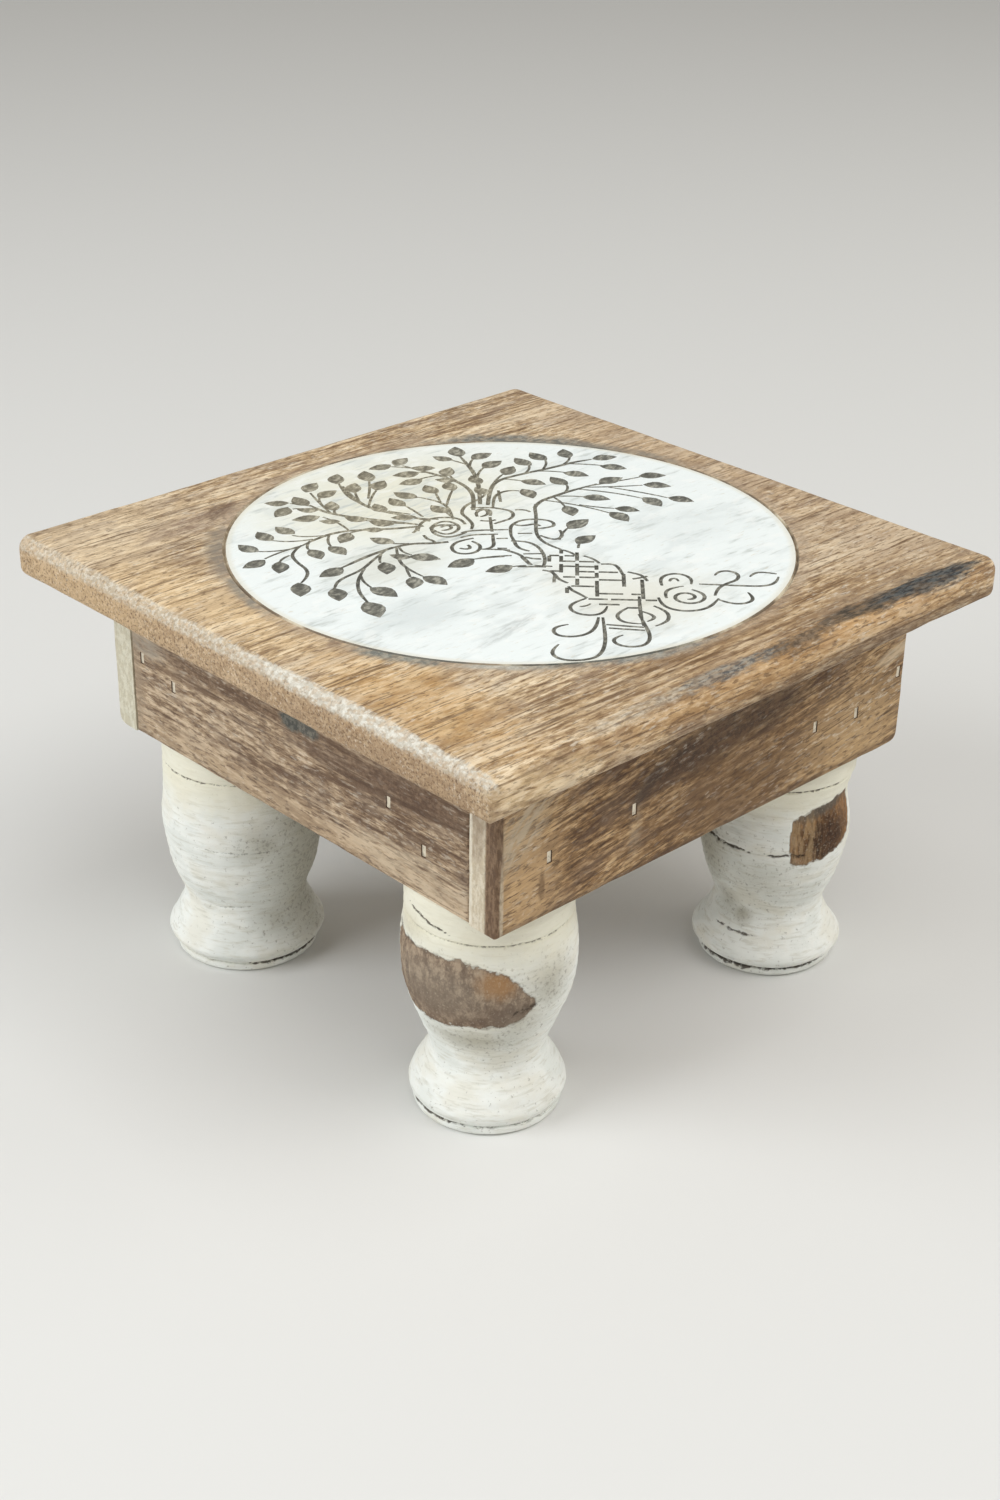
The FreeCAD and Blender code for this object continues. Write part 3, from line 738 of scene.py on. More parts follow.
def ringCutter(material):
    # a V groove turned round the roundel
    radius = slab["roundelRadius"]
    width = slab["ringWidth"]
    depth = slab["ringDepth"]
    bm = bmesh.new()
    corners = [(radius, -depth), (radius + width, depth), (radius - width, depth)]
    verts = [bm.verts.new((place * mm, 0, slab["surface"] * mm + height * mm)) for place, height in corners]
    edges = [bm.edges.new((verts[index - 1], verts[index])) for index in range(3)]
    spinRound(bm, verts + edges, slab["ringSteps"])
    x, y = slab["roundelCentre"]
    bmesh.ops.translate(bm, vec=(x * mm, y * mm, 0), verts=bm.verts)
    return cutterFrom(meshFrom("ringCutter", bm), material)


def spinRound(bm, geometry, steps):
    bmesh.ops.spin(bm, geom=geometry, cent=(0, 0, 0), axis=(0, 0, 1), angle=2 * math.pi, steps=steps,
                   use_merge=True)


def carve(piece, cutters):
    # cuts the tools out of a piece, with each tool's own finish on its walls
    tools = bpy.data.collections.new(piece.name + "_tools")
    for cutter in cutters:
        tools.objects.link(cutter)
    change = piece.modifiers.new("carve", "BOOLEAN")
    change.operation = "DIFFERENCE"
    change.operand_type = "COLLECTION"
    change.collection = tools
    change.solver = "MANIFOLD"
    change.material_mode = "TRANSFER"
    bpy.context.view_layer.update()
    carved = bpy.data.meshes.new_from_object(piece.evaluated_get(bpy.context.evaluated_depsgraph_get()))
    piece.modifiers.remove(change)
    piece.data = carved
    for cutter in list(tools.objects):
        bpy.data.objects.remove(cutter)
    bpy.data.collections.remove(tools)


sharpAngle = 32  # degrees, past which an edge shows


def shadeByAngle(mesh):
    bm = bmesh.new()
    bm.from_mesh(mesh)
    for face in bm.faces:
        face.smooth = True
    for edge in bm.edges:
        edge.smooth = len(edge.link_faces) == 2 and edge.calc_face_angle(0) < math.radians(sharpAngle)
    bm.to_mesh(mesh)
    bm.free()


def newPiece(name, bm, replaced, slotName, *materials):
    mesh = meshFrom(name, bm)
    for material in materials:
        mesh.materials.append(material)
    piece = bpy.data.objects.new(name, mesh)
    scene.collection.objects.link(piece)
    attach(piece, "root")
    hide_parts(replaced)
    return piece


def blockBetween(low, high):
    bm = bmesh.new()
    bmesh.ops.create_cube(bm, size=1.0)
    bmesh.ops.scale(bm, vec=high - low, verts=bm.verts)
    bmesh.ops.translate(bm, vec=(low + high) / 2, verts=bm.verts)
    return bm


def edgesOn(bm, *planes):
    # edges whose two ends lie on every plane, each given as an axis and a value
    def lies(vert):
        return all(abs(vert.co[axis] - value) < 1e-6 for axis, value in planes)

    return [edge for edge in bm.edges if all(lies(vert) for vert in edge.verts)]


def easeEdges(bm, edges, radius, segments):
    bmesh.ops.bevel(bm, geom=edges, offset=radius * mm, offset_type="OFFSET", segments=segments,
                    profile=0.5, affect="EDGES", material=-1, clamp_overlap=True)


def sliceAlong(bm, axis, low, high, step):
    # adds rings of edges across a piece, so that it can be worn unevenly
    count = max(2, round((high[axis] - low[axis]) / (step * mm)))
    direction = Vector([float(index == axis) for index in range(3)])
    for index in range(1, count):
        place = direction * (low[axis] + (high[axis] - low[axis]) * index / count)
        bmesh.ops.bisect_plane(bm, geom=bm.verts[:] + bm.edges[:] + bm.faces[:], dist=1e-7, plane_co=place,
                               plane_no=direction)


def wearDown(bm, low, high, wear):
    # takes a little off every arris, unevenly, and never grows past the block
    middle = (low + high) / 2
    band = wear["band"] * mm
    for vert in bm.verts:
        gaps = [min(vert.co[axis] - low[axis], high[axis] - vert.co[axis]) for axis in range(3)]
        edge = max(0.0, 1 - sorted(gaps)[1] / band)
        if edge:
            amount = edge * wear["depth"] * mm * (0.5 + 0.5 * noise.noise(vert.co / (wear["size"] * mm)))
            inward = middle - vert.co
            inward = Vector([math.copysign(1, inward[axis]) if gaps[axis] < band else 0 for axis in range(3)])
            vert.co += inward.normalized() * amount


def slabOutline(low, high, inset):
    # the slab's edge seen from above, moved in by the inset, with the same count of places at every height
    corners = []
    for index, ((sideX, sideY), radius) in enumerate(slab["corners"]):
        turn = max(radius - inset, 0.01)
        x = (high.x if sideX > 0 else low.x) / mm - sideX * (inset + turn)
        y = (high.y if sideY > 0 else low.y) / mm - sideY * (inset + turn)
        start = math.pi + index * math.pi / 2
        angles = [start + math.pi / 2 * step / slab["cornerSteps"] for step in range(slab["cornerSteps"] + 1)]
        corners.append([Vector((x + turn * math.cos(angle), y + turn * math.sin(angle))) for angle in angles])
    made = []
    for index, corner in enumerate(corners):
        after = corners[(index + 1) % len(corners)][0]
        made += corner
        made += [corner[-1].lerp(after, step / slab["sideSteps"]) for step in range(1, slab["sideSteps"])]
    return made


def slabLevels(low, high):
    # heights and insets in mm from the underside up, round both arrises
    bottom = low.z / mm
    top = high.z / mm
    made = []
    for step in range(slab["lowerSteps"] + 1):
        angle = math.pi / 2 * step / slab["lowerSteps"]
        made.append((bottom + slab["lowerArris"] * (1 - math.cos(angle)),
                     slab["lowerArris"] * (1 - math.sin(angle))))
    made.append(((bottom + top) / 2, 0))
    for step in range(slab["upperSteps"] + 1):
        angle = math.pi / 2 * step / slab["upperSteps"]
        made.append((top - slab["upperArris"] * (1 - math.sin(angle)),
                     slab["upperArris"] * (1 - math.cos(angle))))
    return made


def slabMesh(low, high):
    bm = bmesh.new()
    rings = []
    for height, inset in slabLevels(low, high):
        outline = slabOutline(low, high, inset)
        rings.append([bm.verts.new((place.x * mm, place.y * mm, height * mm)) for place in outline])
    for lower, upper in zip(rings, rings[1:]):
        for index in range(len(lower)):
            bm.faces.new((lower[index - 1], lower[index], upper[index], upper[index - 1]))
    bm.faces.new(reversed(rings[0]))
    bm.faces.new(rings[-1])
    bmesh.ops.remove_doubles(bm, verts=bm.verts, dist=slab["mergeLength"] * mm)
    bmesh.ops.recalc_face_normals(bm, faces=bm.faces)
    return bm


def makeTop():
    low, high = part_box("table_top")
    bm = slabMesh(low, high)
    for axis in (0, 1):
        sliceAlong(bm, axis, low, high, slab["cellLength"])
    wearDown(bm, low, high, slab["wear"])
    stain = carvedStain()
    wood = woodLook("topWood", {}, slabMarks)
    piece = newPiece("carved_top", bm, "table_top", "top_wood", wood, roundelPaint())
    cutters = [ringCutter(ringStain())]
    routes = {
        "bough": boughs,
        "twig": twigs,
        "root": roots + [scrollLine(scroll) for scroll in scrolls],
        "thin": knot,
        "plait": plaitLines(),
    }
    for kind, lines in routes.items():
        for index, route in enumerate(lines):
            cutters.append(grooveCutter(f"{kind}{index}", route, treeLines[kind], stain))
    for index, leaf in enumerate(leaves):
        cutters.append(leafCutter(f"leaf{index}", leaf, stain))
    carve(piece, cutters)
    paintRoundel(piece)
    shadeByAngle(piece.data)
    print("top carved with", len(cutters), "cuts,", len(piece.data.polygons), "faces")


def paintRoundel(piece):
    # the flat face inside the ring takes the white paint
    centre = Vector(slab["roundelCentre"]) * mm
    wood = piece.data.materials.find("topWood")
    paint = piece.data.materials.find("roundelPaint")
    lowest = (slab["surface"] - slab["paintReach"]) * mm
    for face in piece.data.polygons:
        inside = (face.center.xy - centre).length < slab["roundelRadius"] * mm
        if face.material_index == wood and inside and face.center.z > lowest:
            face.material_index = paint


def fromCentre(tree, unit):
    # distance from the roundel's middle, seen from above, in units of a length in mm
    x, y = slab["roundelCentre"]
    return lengthOf(tree, placed(tree, (x, y, slab["surface"]), (unit, unit, 1000)))


def rimShare(tree, reach):
    # 1 along the outside of the roundel, falling to 0 at the reach in mm
    rough = grain(tree, (5, 3, 3), centre=(4, 4, 4), detail=4.0, rough=0.65)
    uneven = plus(tree, fromCentre(tree, 1), times(tree, plus(tree, rough, -0.5), reach))
    return levels(tree, uneven, slab["roundelRadius"] + reach, slab["roundelRadius"] + reach * 0.3)


paintMarks = [
    mark((-38, -14, 101), (9, 7, 3), (204, 212, 212), ragged=0.6, grit=(5, 2, 2), soft=0.7, strength=0.5),
    mark((-30, -32, 101), (9, 1.6, 3), (176, 182, 180), turn=(0, 0, 12), ragged=0.8, grit=(4, 1, 1),
        strength=0.5, broken=0.6),
    mark((38, -18, 101), (13, 9, 3), (222, 229, 228), ragged=0.7, grit=(6, 2, 2), soft=0.7, strength=0.4),
    mark((0, -30, 101), (10, 16, 3), (226, 221, 203), ragged=0.6, grit=(4, 2, 2), soft=0.7, strength=0.4),
    mark((-26, 8, 101), (12, 8, 3), (212, 211, 196), ragged=0.6, grit=(4, 2, 2), soft=0.7, strength=0.5),
    mark((2, -42, 101), (16, 10, 3), (222, 218, 202), ragged=0.6, grit=(4, 2, 2), soft=0.7, strength=0.4),
]


def crownShare(tree):
    # 1 in the middle of the crown, where the paint is creamier, falling to 0 outside it
    return within(tree, softZone((0, 37, 101), (30, 24, 30), ragged=0.35, grit=(9, 9, 9), soft=0.7))


def roundelPaint():
    made, tree, shader = newMaterial("roundelPaint", 0.6)
    paint = mixColours(tree, crownShare(tree), tint(239, 245, 244), tint(233, 232, 216))
    streak = grain(tree, (8, 1.5, 1.5), detail=4.0, rough=0.6)
    cloud = grain(tree, (14, 7, 7), centre=(5, 9, 0))
    dab = grain(tree, (5, 3.4, 3.4), centre=(1, 6, 2), detail=4.0)
    thin = grain(tree, (2.6, 0.6, 0.6))
    paint = layer(tree, paint, cloud, 0.5, 0.64, 0.35, tint(208, 215, 214))
    faint = times(tree, levels(tree, streak, 0.52, 0.68), levels(tree, cloud, 0.42, 0.6, 0.1, 0.8))
    paint = mixColours(tree, faint, paint, tint(194, 200, 196))
    paint = layer(tree, paint, dab, 0.52, 0.64, 0.4, tint(248, 250, 247))
    paint = layer(tree, paint, thin, 0.62, 0.74, 0.4, tint(206, 196, 174))
    paint = addMarks(tree, paint, paintMarks)
    rim = fromCentre(tree, slab["roundelRadius"])
    giveColour(tree, shader, layer(tree, paint, rim, 0.965, 0.99, 0.55, tint(226, 221, 203)))
    giveBump(tree, shader, plus(tree, streak, grain(tree, (1.2, 0.5, 0.5))), 0.12, 0.6)
    return made


def carvedStain():
    made, tree, shader = newMaterial("carvedStain", 0.75)
    spots = grain(tree, (1.6, 1.0, 1.0), detail=4.0)
    dark = [(0.38, tint(94, 93, 86)), (0.52, tint(122, 121, 112)), (0.66, tint(168, 166, 154))]
    warm = [(0.38, tint(124, 118, 102)), (0.52, tint(154, 148, 129)), (0.66, tint(196, 190, 170))]
    colours = [shades(tree, spots, stops) for stops in (dark, warm)]
    giveColour(tree, shader, mixColours(tree, crownShare(tree), *colours))
    return made


ringMarks = [
    mark((-26, -54, 101), (24, 12, 3), (78, 84, 80), grit=(5, 5, 5), strength=0.85, broken=0.5),
    mark((-52, -30, 101), (9, 14, 3), (92, 96, 92), strength=0.8),
    mark((52, 38, 101), (14, 18, 3), (104, 108, 104), strength=0.7),
]


def ringStain():
    made, tree, shader = newMaterial("ringStain", 0.75)
    worn = [(0.4, tint(128, 113, 94)), (0.5, tint(166, 150, 126)), (0.62, tint(212, 202, 180))]
    colour = shades(tree, grain(tree, (7, 7, 7), detail=4.0), worn)
    giveColour(tree, shader, addMarks(tree, colour, ringMarks))
    return made


# Apron boards

boardShape = {
    "arris": 0.8,  # mm, as the rest
    "arrisSegments": 3,
    "roundedCorner": 2.6,
    "roundedSegments": 5,
    "cellLength": 4.0,
    "wear": {"band": 1.5, "depth": 0.3, "size": 5.0},
    "bradClearance": 0.07,
    "pocketReach": 2.0,
}

frontLook = {
    "turn": (0, -7, 0),
    "deep": tint(91, 64, 40),
    "middle": tint(150, 117, 78),
    "pale": tint(206, 174, 131),
    "pore": tint(78, 56, 38),
    "dust": tint(140, 116, 94),
    "washShare": 0.4,
}
frontMarks = [
    mark((2, -63, 78.5), (27, 6, 5.5), (62, 44, 30), (90, 66, 46), turn=(0, -6, 0), ragged=0.7,
        grit=(9, 2, 1.4), soft=0.5, strength=0.95, broken=0.2),
    mark((8, -63, 65), (24, 6, 9), (110, 82, 52), soft=0.8, strength=0.7),
    mark((-54, -63, 66), (8, 6, 14), (206, 172, 128), soft=0.8, strength=0.7),
    mark((47, -63, 65), (17, 6, 10), (200, 168, 124), soft=0.8, strength=0.7),
    overMark((-21, -63, 74.5), (5.5, 6, 1.5), (70, 54, 42), turn=(0, -38, 0), ragged=0.6,
        grit=(3, 1, 0.8), strength=0.8, broken=0.3),
    overMark((-55, -63, 78), (9, 6, 4), (200, 187, 164), turn=(0, -46, 0), ragged=0.8, grit=(6, 1.4, 1.4),
        soft=0.6, strength=0.7, broken=0.7),
    overMark((58, -63, 79), (6, 6, 1.6), (218, 200, 172), turn=(0, -12, 0), ragged=0.7, grit=(5, 1, 0.7),
        strength=0.75, broken=0.4),
    overMark((-23.6, -63, 66), (1.6, 6, 6), (190, 172, 146), ragged=0.8, grit=(2, 1, 1), soft=0.7,
        strength=0.35, broken=0.7),
    overMark((-49.8, -63, 63.5), (0.9, 6, 3), (92, 66, 42), ragged=0.6, grit=(1, 1, 2), strength=0.6),
    # painted shade: a dark line along the board's lower edge
    overMark((0, -63, 56.4), (70, 6, 1.2), (84, 62, 44), square=True, ragged=0.4, grit=(6, 1, 1),
        soft=0.5, strength=0.6, broken=0.4),
]

sideLook = {
    "turn": (0, 0, 90),
    "deep": tint(108, 84, 64),
    "middle": tint(160, 136, 109),
    "pale": tint(208, 186, 158),
    "pore": tint(92, 69, 52),
    "dust": tint(146, 128, 110),
    "washShare": 0.3,
}
sideMarks = [
    # dark bands under the slab's overhang: partly darker wood, partly painted shade cast by the overhang
    mark((-61, 24, 79.6), (6, 27, 2.0), (104, 80, 60), (132, 108, 86), ragged=0.8, grit=(2, 9, 1),
        soft=0.5, strength=0.95, broken=0.3),
    mark((-61, -35, 77.6), (6, 26, 4.0), (96, 73, 56), (122, 98, 78), turn=(-2, 0, 0), ragged=0.8,
        grit=(2, 8, 1), soft=0.5, strength=0.95, broken=0.25),
    overMark((-61, -36, 75.2), (6, 22, 0.7), (84, 62, 46), turn=(-2, 0, 0), ragged=0.8, grit=(2, 8, 0.7),
        strength=0.8, broken=0.5),
    overMark((-61, 34, 75.6), (6, 14, 0.9), (120, 96, 74), ragged=0.8, grit=(2, 8, 0.7), strength=0.7,
        broken=0.5),
    overMark((-61.6, -1.6, 80), (5, 3.6, 2.1), (70, 72, 68), (104, 104, 96), grit=(1, 1.6, 1), soft=0.3,
        strength=0.95),
    overMark((-61.6, -7.4, 80.2), (5, 3.0, 2.0), (78, 80, 76), (120, 118, 108), grit=(1, 1.6, 1),
        soft=0.3, strength=0.9),
    overMark((-61.6, 49, 79), (5, 6.5, 2.6), (164, 153, 138), ragged=0.7, grit=(1, 4, 1), strength=0.8,
        broken=0.5),
    overMark((-61.6, 53, 68), (5, 2.0, 12), (158, 138, 116), ragged=0.7, strength=0.6, broken=0.3),
    mark((-61.6, 10, 59), (5, 52, 3.5), (190, 165, 134), ragged=0.6, grit=(2, 8, 1), soft=0.7,
        strength=0.45),
    overMark((-61.6, -38, 61.5), (5, 17, 4), (204, 186, 160), ragged=0.7, grit=(2, 7, 1), strength=0.5,
        broken=0.8),
]

endMarks = {
    "front": [
        overMark((-61.8, -57.4, 72), (1.4, 2.4, 22), (208, 195, 170), (226, 216, 196), square=True,
            ragged=0.25, grit=(1, 1, 3), soft=0.2, spots=(0.9, 0.9, 2), strength=0.95),
        overMark((-61.8, -57.2, 84), (1.4, 2.3, 13), (162, 143, 122), grit=(1, 1, 2), soft=0.5,
            strength=0.85, broken=0.3),
        overMark((-61.8, -55.5, 70), (1.4, 0.5, 20), (236, 229, 212), grit=(1, 1, 3), strength=0.8,
            broken=0.5),
        overMark((-61.8, -61.5, 74), (1.6, 1.8, 22), (100, 76, 57), (132, 107, 84), square=True,
            ragged=0.3, grit=(1, 1, 3), soft=0.25, spots=(0.8, 0.8, 2.4), strength=0.95),
        # painted shade: a dark spot at the top of the near corner, right under the slab
        overMark((-61.6, -62.6, 88), (3, 2.4, 3.4), (66, 48, 37), strength=0.8),
        # painted highlight: a pale line down the near corner's edge
        overMark((-60.4, -63.1, 63), (0.5, 1.2, 9), (210, 194, 168), ragged=0.4, grit=(1, 1, 2),
            strength=0.8, broken=0.4),
    ],
    "back": [
        overMark((-61.8, 57.8, 74), (1.6, 4.2, 24), (204, 198, 176), (221, 217, 198), square=True,
            ragged=0.25, grit=(1, 1, 3), soft=0.2, spots=(0.9, 0.9, 2), strength=0.95),
    ],
}


def bradPlaces(node):
    # the box of each brad in a node of brads
    bm = bmesh.new()
    bm.from_mesh(nodes[node].data)
    bmesh.ops.remove_doubles(bm, verts=bm.verts, dist=1e-6)
    left = set(bm.verts)
    made = []
    while left:
        found = {left.pop()}
        edge = set(found)
        while edge:
            edge = {other for vert in edge for link in vert.link_edges for other in link.verts} - found
            found |= edge
        left -= found
        places = [vert.co for vert in found]
        made.append((Vector([min(place[axis] for place in places) for axis in range(3)]),
                     Vector([max(place[axis] for place in places) for axis in range(3)])))
    bm.free()
    return sorted(made, key=lambda box: tuple(box[0]))


def bradPocket(name, box, outerAxis, outward, material):
    # room for a brad, open at the board's outer face
    clearance = Vector((1, 1, 1)) * boardShape["bradClearance"] * mm
    low = box[0] - clearance
    high = box[1] + clearance
    outer = low if outward < 0 else high
    outer[outerAxis] += outward * boardShape["pocketReach"] * mm
    return cutterFrom(meshFrom(name, blockBetween(low, high)), material)


def makeBoard(side, look, marks, pocketWood):
    node = side + "_apron_board"
    low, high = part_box(node)
    bm = blockBetween(low, high)
    outerAxis = 1 if side in ("front", "back") else 0
    lengthAxis = 1 - outerAxis
    outward = -1 if side in ("front", "left") else 1
    outer = (outerAxis, low[outerAxis] if outward < 0 else high[outerAxis])
    # the front board has one rounded lower corner, and the back board a rounded lower arris
    rounded = {"front": (0, high.x), "back": (1, high.y)}
    if side in rounded:
        edges = edgesOn(bm, rounded[side], (2, low.z))
        easeEdges(bm, edges, boardShape["roundedCorner"], boardShape["roundedSegments"])
    eased = [edge for edge in edgesOn(bm, outer) if edge not in edgesOn(bm, (2, high.z))]
    easeEdges(bm, eased, boardShape["arris"], boardShape["arrisSegments"])
    for axis in (lengthAxis, 2):
        sliceAlong(bm, axis, low, high, boardShape["cellLength"])
    wearDown(bm, low, high, boardShape["wear"])
    piece = newPiece(side + "_board", bm, node, "apron_wood", woodLook(side + "Wood", look, marks))
    pockets = []
    for index, box in enumerate(bradPlaces(side + "_board_brads")):
        pockets.append(bradPocket(f"{side}Pocket{index}", box, outerAxis, outward, pocketWood))
    carve(piece, pockets)
    shadeByAngle(piece.data)
    print(side, "board has", len(pockets), "brads")


def makeBoards():
    pocketWood, tree, shader = newMaterial("pocketWood", 0.8)
    stops = [(0.4, tint(76, 55, 40)), (0.6, tint(112, 87, 65))]
    giveColour(tree, shader, shades(tree, grain(tree, (1, 1, 1)), stops))
    makeBoard("front", frontLook, frontMarks + endMarks["front"], pocketWood)
    makeBoard("back", {**frontLook, "turn": (0, 3, 0)}, endMarks["back"], pocketWood)
    makeBoard("left", sideLook, sideMarks, pocketWood)
    makeBoard("right", sideLook, [], pocketWood)


# Turned legs

legShape = {
    # radius beside the ring's own, and height
    "footRing": [(-0.9, 0), (-0.2, 0.6), (0, 1.2), (0, 2.0), (-0.7, 2.3)],
    "collarRadius": 17.5,
    "collarRise": 0.6,
    "collarTop": [(17.5, 55.3), (16.9, 56)],
    "tenon": [(6, 56), (6, 83.2), (5.2, 84), (0, 84)],
    "turnedHeights": (0.2, 55.8),
    "turnedRadius": 9,
    "turns": 220,
    "row": 0.3,
    # depths by which the surface moves, each with the length over which it does
    "swell": 0.07,
    "swellSize": 14,
    "toolMarks": 0.05,
    "toolTurn": 2.6,  # radians per mm up the leg
    "toolSway": 2,  # radians
    "toolSwaySize": 9,
    "brush": (0.05, 0.07),
    "brushStretch": (0.5, 0.5, 2.2),
    "brushSize": 2.1,
    "bareDepth": 0.22,
    "bareRough": [(0.1, 1.4), (0.06, 3.2)],  # depth, and how often it comes in a mm
}

bareEdge = {
    "size": (8, 2.4),  # degrees round the leg and mm up it
    "rough": [(1, 0.6), (2.9, 0.4), (7, 0.3)],  # how often it strays, and how far in mm
    "soft": 1.2,  # mm
}

crackShape = {
    "stray": 0.6,  # share of the width
    "straySize": 9,  # degrees
    "taper": 5,  # full width is reached a fifth of the way in from each end
    "width": (0.8, 0.7),  # the usual share, and how far it varies
    "widthSize": 4,  # degrees
}

# Each outline gives radius and height in mm, from the groove over the foot ring up to the neck, which is
# the groove under the collar. Angles are in degrees about a leg's axis. A bare patch is its lower and upper
# edge at each angle. A crack is its first and last angle, its height at each, its width and depth, and how
# dark it is. Dust is the angle and height of its middle, how far it reaches each way, and its share; its
# zones hold dust and also painted shade, on the sides of the legs that face in under the table.
legs = {
    "front_left": {
        "centre": (-43.2, -41.7), "ring": 15.9, "neck": (17.2, 47.7),
        "outline": [(15.9, 2.7), (16.75, 4.8), (15.35, 8.5), (12.4, 14.5), (15.0, 22.5), (17.6, 29.7),
            (18.4, 35.5), (18.3, 41.2), (17.5, 47.1)],
        "bare": [(134, 33, 40), (139, 29, 42), (148, 27.6, 43.8), (160, 27.2, 43.4), (180, 26.8, 43.6),
            (206, 27.6, 43.9), (222, 28.2, 43), (236, 28.5, 41.6), (244, 29, 39.8), (248, 29.4, 38),
            (251, 30, 36.4), (254, 31.4, 35.4), (258, 33, 34.6)],
        "cracks": [(136, 172, 44.4, 43.2, 1.9, 0.1, 0.5), (240, 262, 31, 33.5, 2.2, 0.1, 0.55),
            (160, 200, 52, 49.2, 0.6, 0.3, 1), (110, 330, 47.7, 47.7, 0.5, 0.1, 0.4),
            (195, 292, 47.7, 47.7, 0.5, 0.1, 0.55), (136, 212, 2.2, 2.2, 0.7, 0.05, 0.7),
            (200, 290, 2.2, 2.2, 0.7, 0.05, 0.42)],
        "dust": [(190, 36, 70, 12, 1), (160, 47, 30, 4, 1), (268, 37, 36, 13, 0.7),
            (215, 23.5, 64, 6, 0.8), (246, 30, 50, 22, 0.6)],
    },
    "front_right": {
        "centre": (46.2, -42.8), "ring": 15.8, "neck": (16.8, 49.5),
        "outline": [(16.0, 2.7), (17.35, 4.7), (14.8, 8.5), (12.6, 14.5), (15.2, 22.5), (16.9, 29.7),
            (17.3, 34.8), (16.3, 41.2), (16.0, 44.4), (17.0, 49.0)],
        "bare": [(232, 35, 38), (234, 31, 41.6), (246, 30.4, 43), (262, 31.4, 44.4), (280, 32.8, 45.4),
            (292, 34.4, 45), (298, 38, 42)],
        "cracks": [(150, 202, 34.2, 33.4, 0.9, 0.5, 1), (212, 247, 33.4, 33.0, 0.8, 0.4, 1),
            (160, 214, 9.8, 9.6, 0.6, 0.2, 0.75), (215, 285, 49.5, 49.5, 0.5, 0.1, 0.8),
            (128, 220, 2.2, 2.2, 1.2, 0.05, 1), (206, 292, 2.2, 2.2, 0.8, 0.05, 0.8)],
        "dust": [(192, 14, 20, 4, 0.8), (176, 17, 30, 9, 0.6), (160, 30, 40, 14, 0.8),
            (212, 25, 80, 17, 0.42)],
    },
    "back_left": {
        "centre": (-42.6, 41.9), "ring": 16.6, "neck": (17.2, 49.4),
        "outline": [(16.7, 2.7), (18.1, 4.9), (16.3, 8.5), (14.1, 14.5), (16.7, 22.5), (17.9, 29.7),
            (18.4, 35.0), (17.8, 41.2), (17.5, 48.8)],
        "bare": [],
        "cracks": [(196, 262, 33.0, 32.2, 0.4, 0.15, 0.5), (196, 240, 15.5, 16.5, 0.4, 0.15, 0.45),
            (150, 236, 49.5, 49.5, 0.5, 0.1, 0.7), (233, 318, 2.2, 2.2, 0.8, 0.05, 1),
            (150, 236, 2.2, 2.2, 0.5, 0.05, 0.3)],
        "dust": [(300, 28, 70, 40, 1), (248, 34, 36, 9, 0.6), (262, 12, 40, 8, 0.5)],
    },
    "back_right": {
        "centre": (43.4, 41.9), "ring": 15.9, "neck": (16.9, 48.4),
        "outline": [(16.0, 2.7), (17.3, 4.8), (15.2, 8.5), (13.0, 14.5), (15.6, 22.5), (17.4, 29.7),
            (18.2, 35.5), (17.6, 41.2), (17.0, 47.8)],
        "bare": [(18, 30, 34), (24, 26, 39), (44, 24.6, 40), (66, 26, 38), (76, 30, 33)],
        "cracks": [(90, 150, 38, 37, 0.5, 0.3, 1), (20, 130, 2.2, 2.2, 0.6, 0.05, 1)],
        "dust": [(50, 32, 50, 14, 1)],
    },
}


def evened(points, step):
    # the same line with its points one step apart at most, and short runs joined
    made = [points[0]]
    for first, second in zip(points, points[1:]):
        start = Vector(made[-1])
        end = Vector(second)
        if (end - start).length >= step:
            count = max(1, round((end - start).length / step))
            made += [tuple(start.lerp(end, index / count)) for index in range(1, count + 1)]
    if (Vector(points[-1]) - Vector(made[-1])).length < step / 2:
        made[-1] = points[-1]
    else:
        made.append(points[-1])
    return made


def bareAt(leg, angle, height):
    # 1 where the paint has gone, 0 where it holds
    best = 0.0
    for (start, low, high), (stop, nextLow, nextHigh) in zip(leg["bare"], leg["bare"][1:]):
        if start <= angle < stop:
            share = (angle - start) / (stop - start)
            place = Vector((angle / bareEdge["size"][0], height / bareEdge["size"][1], 3.0))
            ragged = sum(far * noise.noise(place * often) for often, far in bareEdge["rough"])
            lowest = low + (nextLow - low) * share
            highest = high + (nextHigh - high) * share
            inside = min(height - lowest, highest - height) + ragged
            best = max(best, min(1.0, max(0.0, 0.5 + inside / bareEdge["soft"])))
    return best


def crackAt(leg, angle, height):
    # how dark a crack or groove is here, and how deep in mm
    darkest = 0.0
    deepest = 0.0
    taper = crackShape["taper"]
    usual, varied = crackShape["width"]
    for first, last, firstHeight, lastHeight, width, depth, dark in leg["cracks"]:
        share = (angle - first) / (last - first)
        if not 0 < share < 1:
            continue
        middle = firstHeight + (lastHeight - firstHeight) * share
        place = Vector((angle / crackShape["straySize"], first, 1.0))
        middle += crackShape["stray"] * width * noise.noise(place)
        width *= min(1.0, taper * share, taper * (1 - share))
        width *= usual + varied * noise.noise(Vector((angle / crackShape["widthSize"], 2.0, firstHeight)))
        near = max(0.0, 1 - abs(height - middle) / max(width, 0.01))
        darkest = max(darkest, near * dark)
        deepest = max(deepest, near * depth)
    return darkest, deepest


def dustAndShadeAt(leg, angle, height):
    # share of dust here, and of painted shade on the sides that face in under the table
    best = 0.0
    for middle, middleHeight, reach, reachUp, share in leg["dust"]:
        away = math.hypot((angle - middle) / reach, (height - middleHeight) / reachUp)
        best = max(best, (1 - away) * share)
    return best


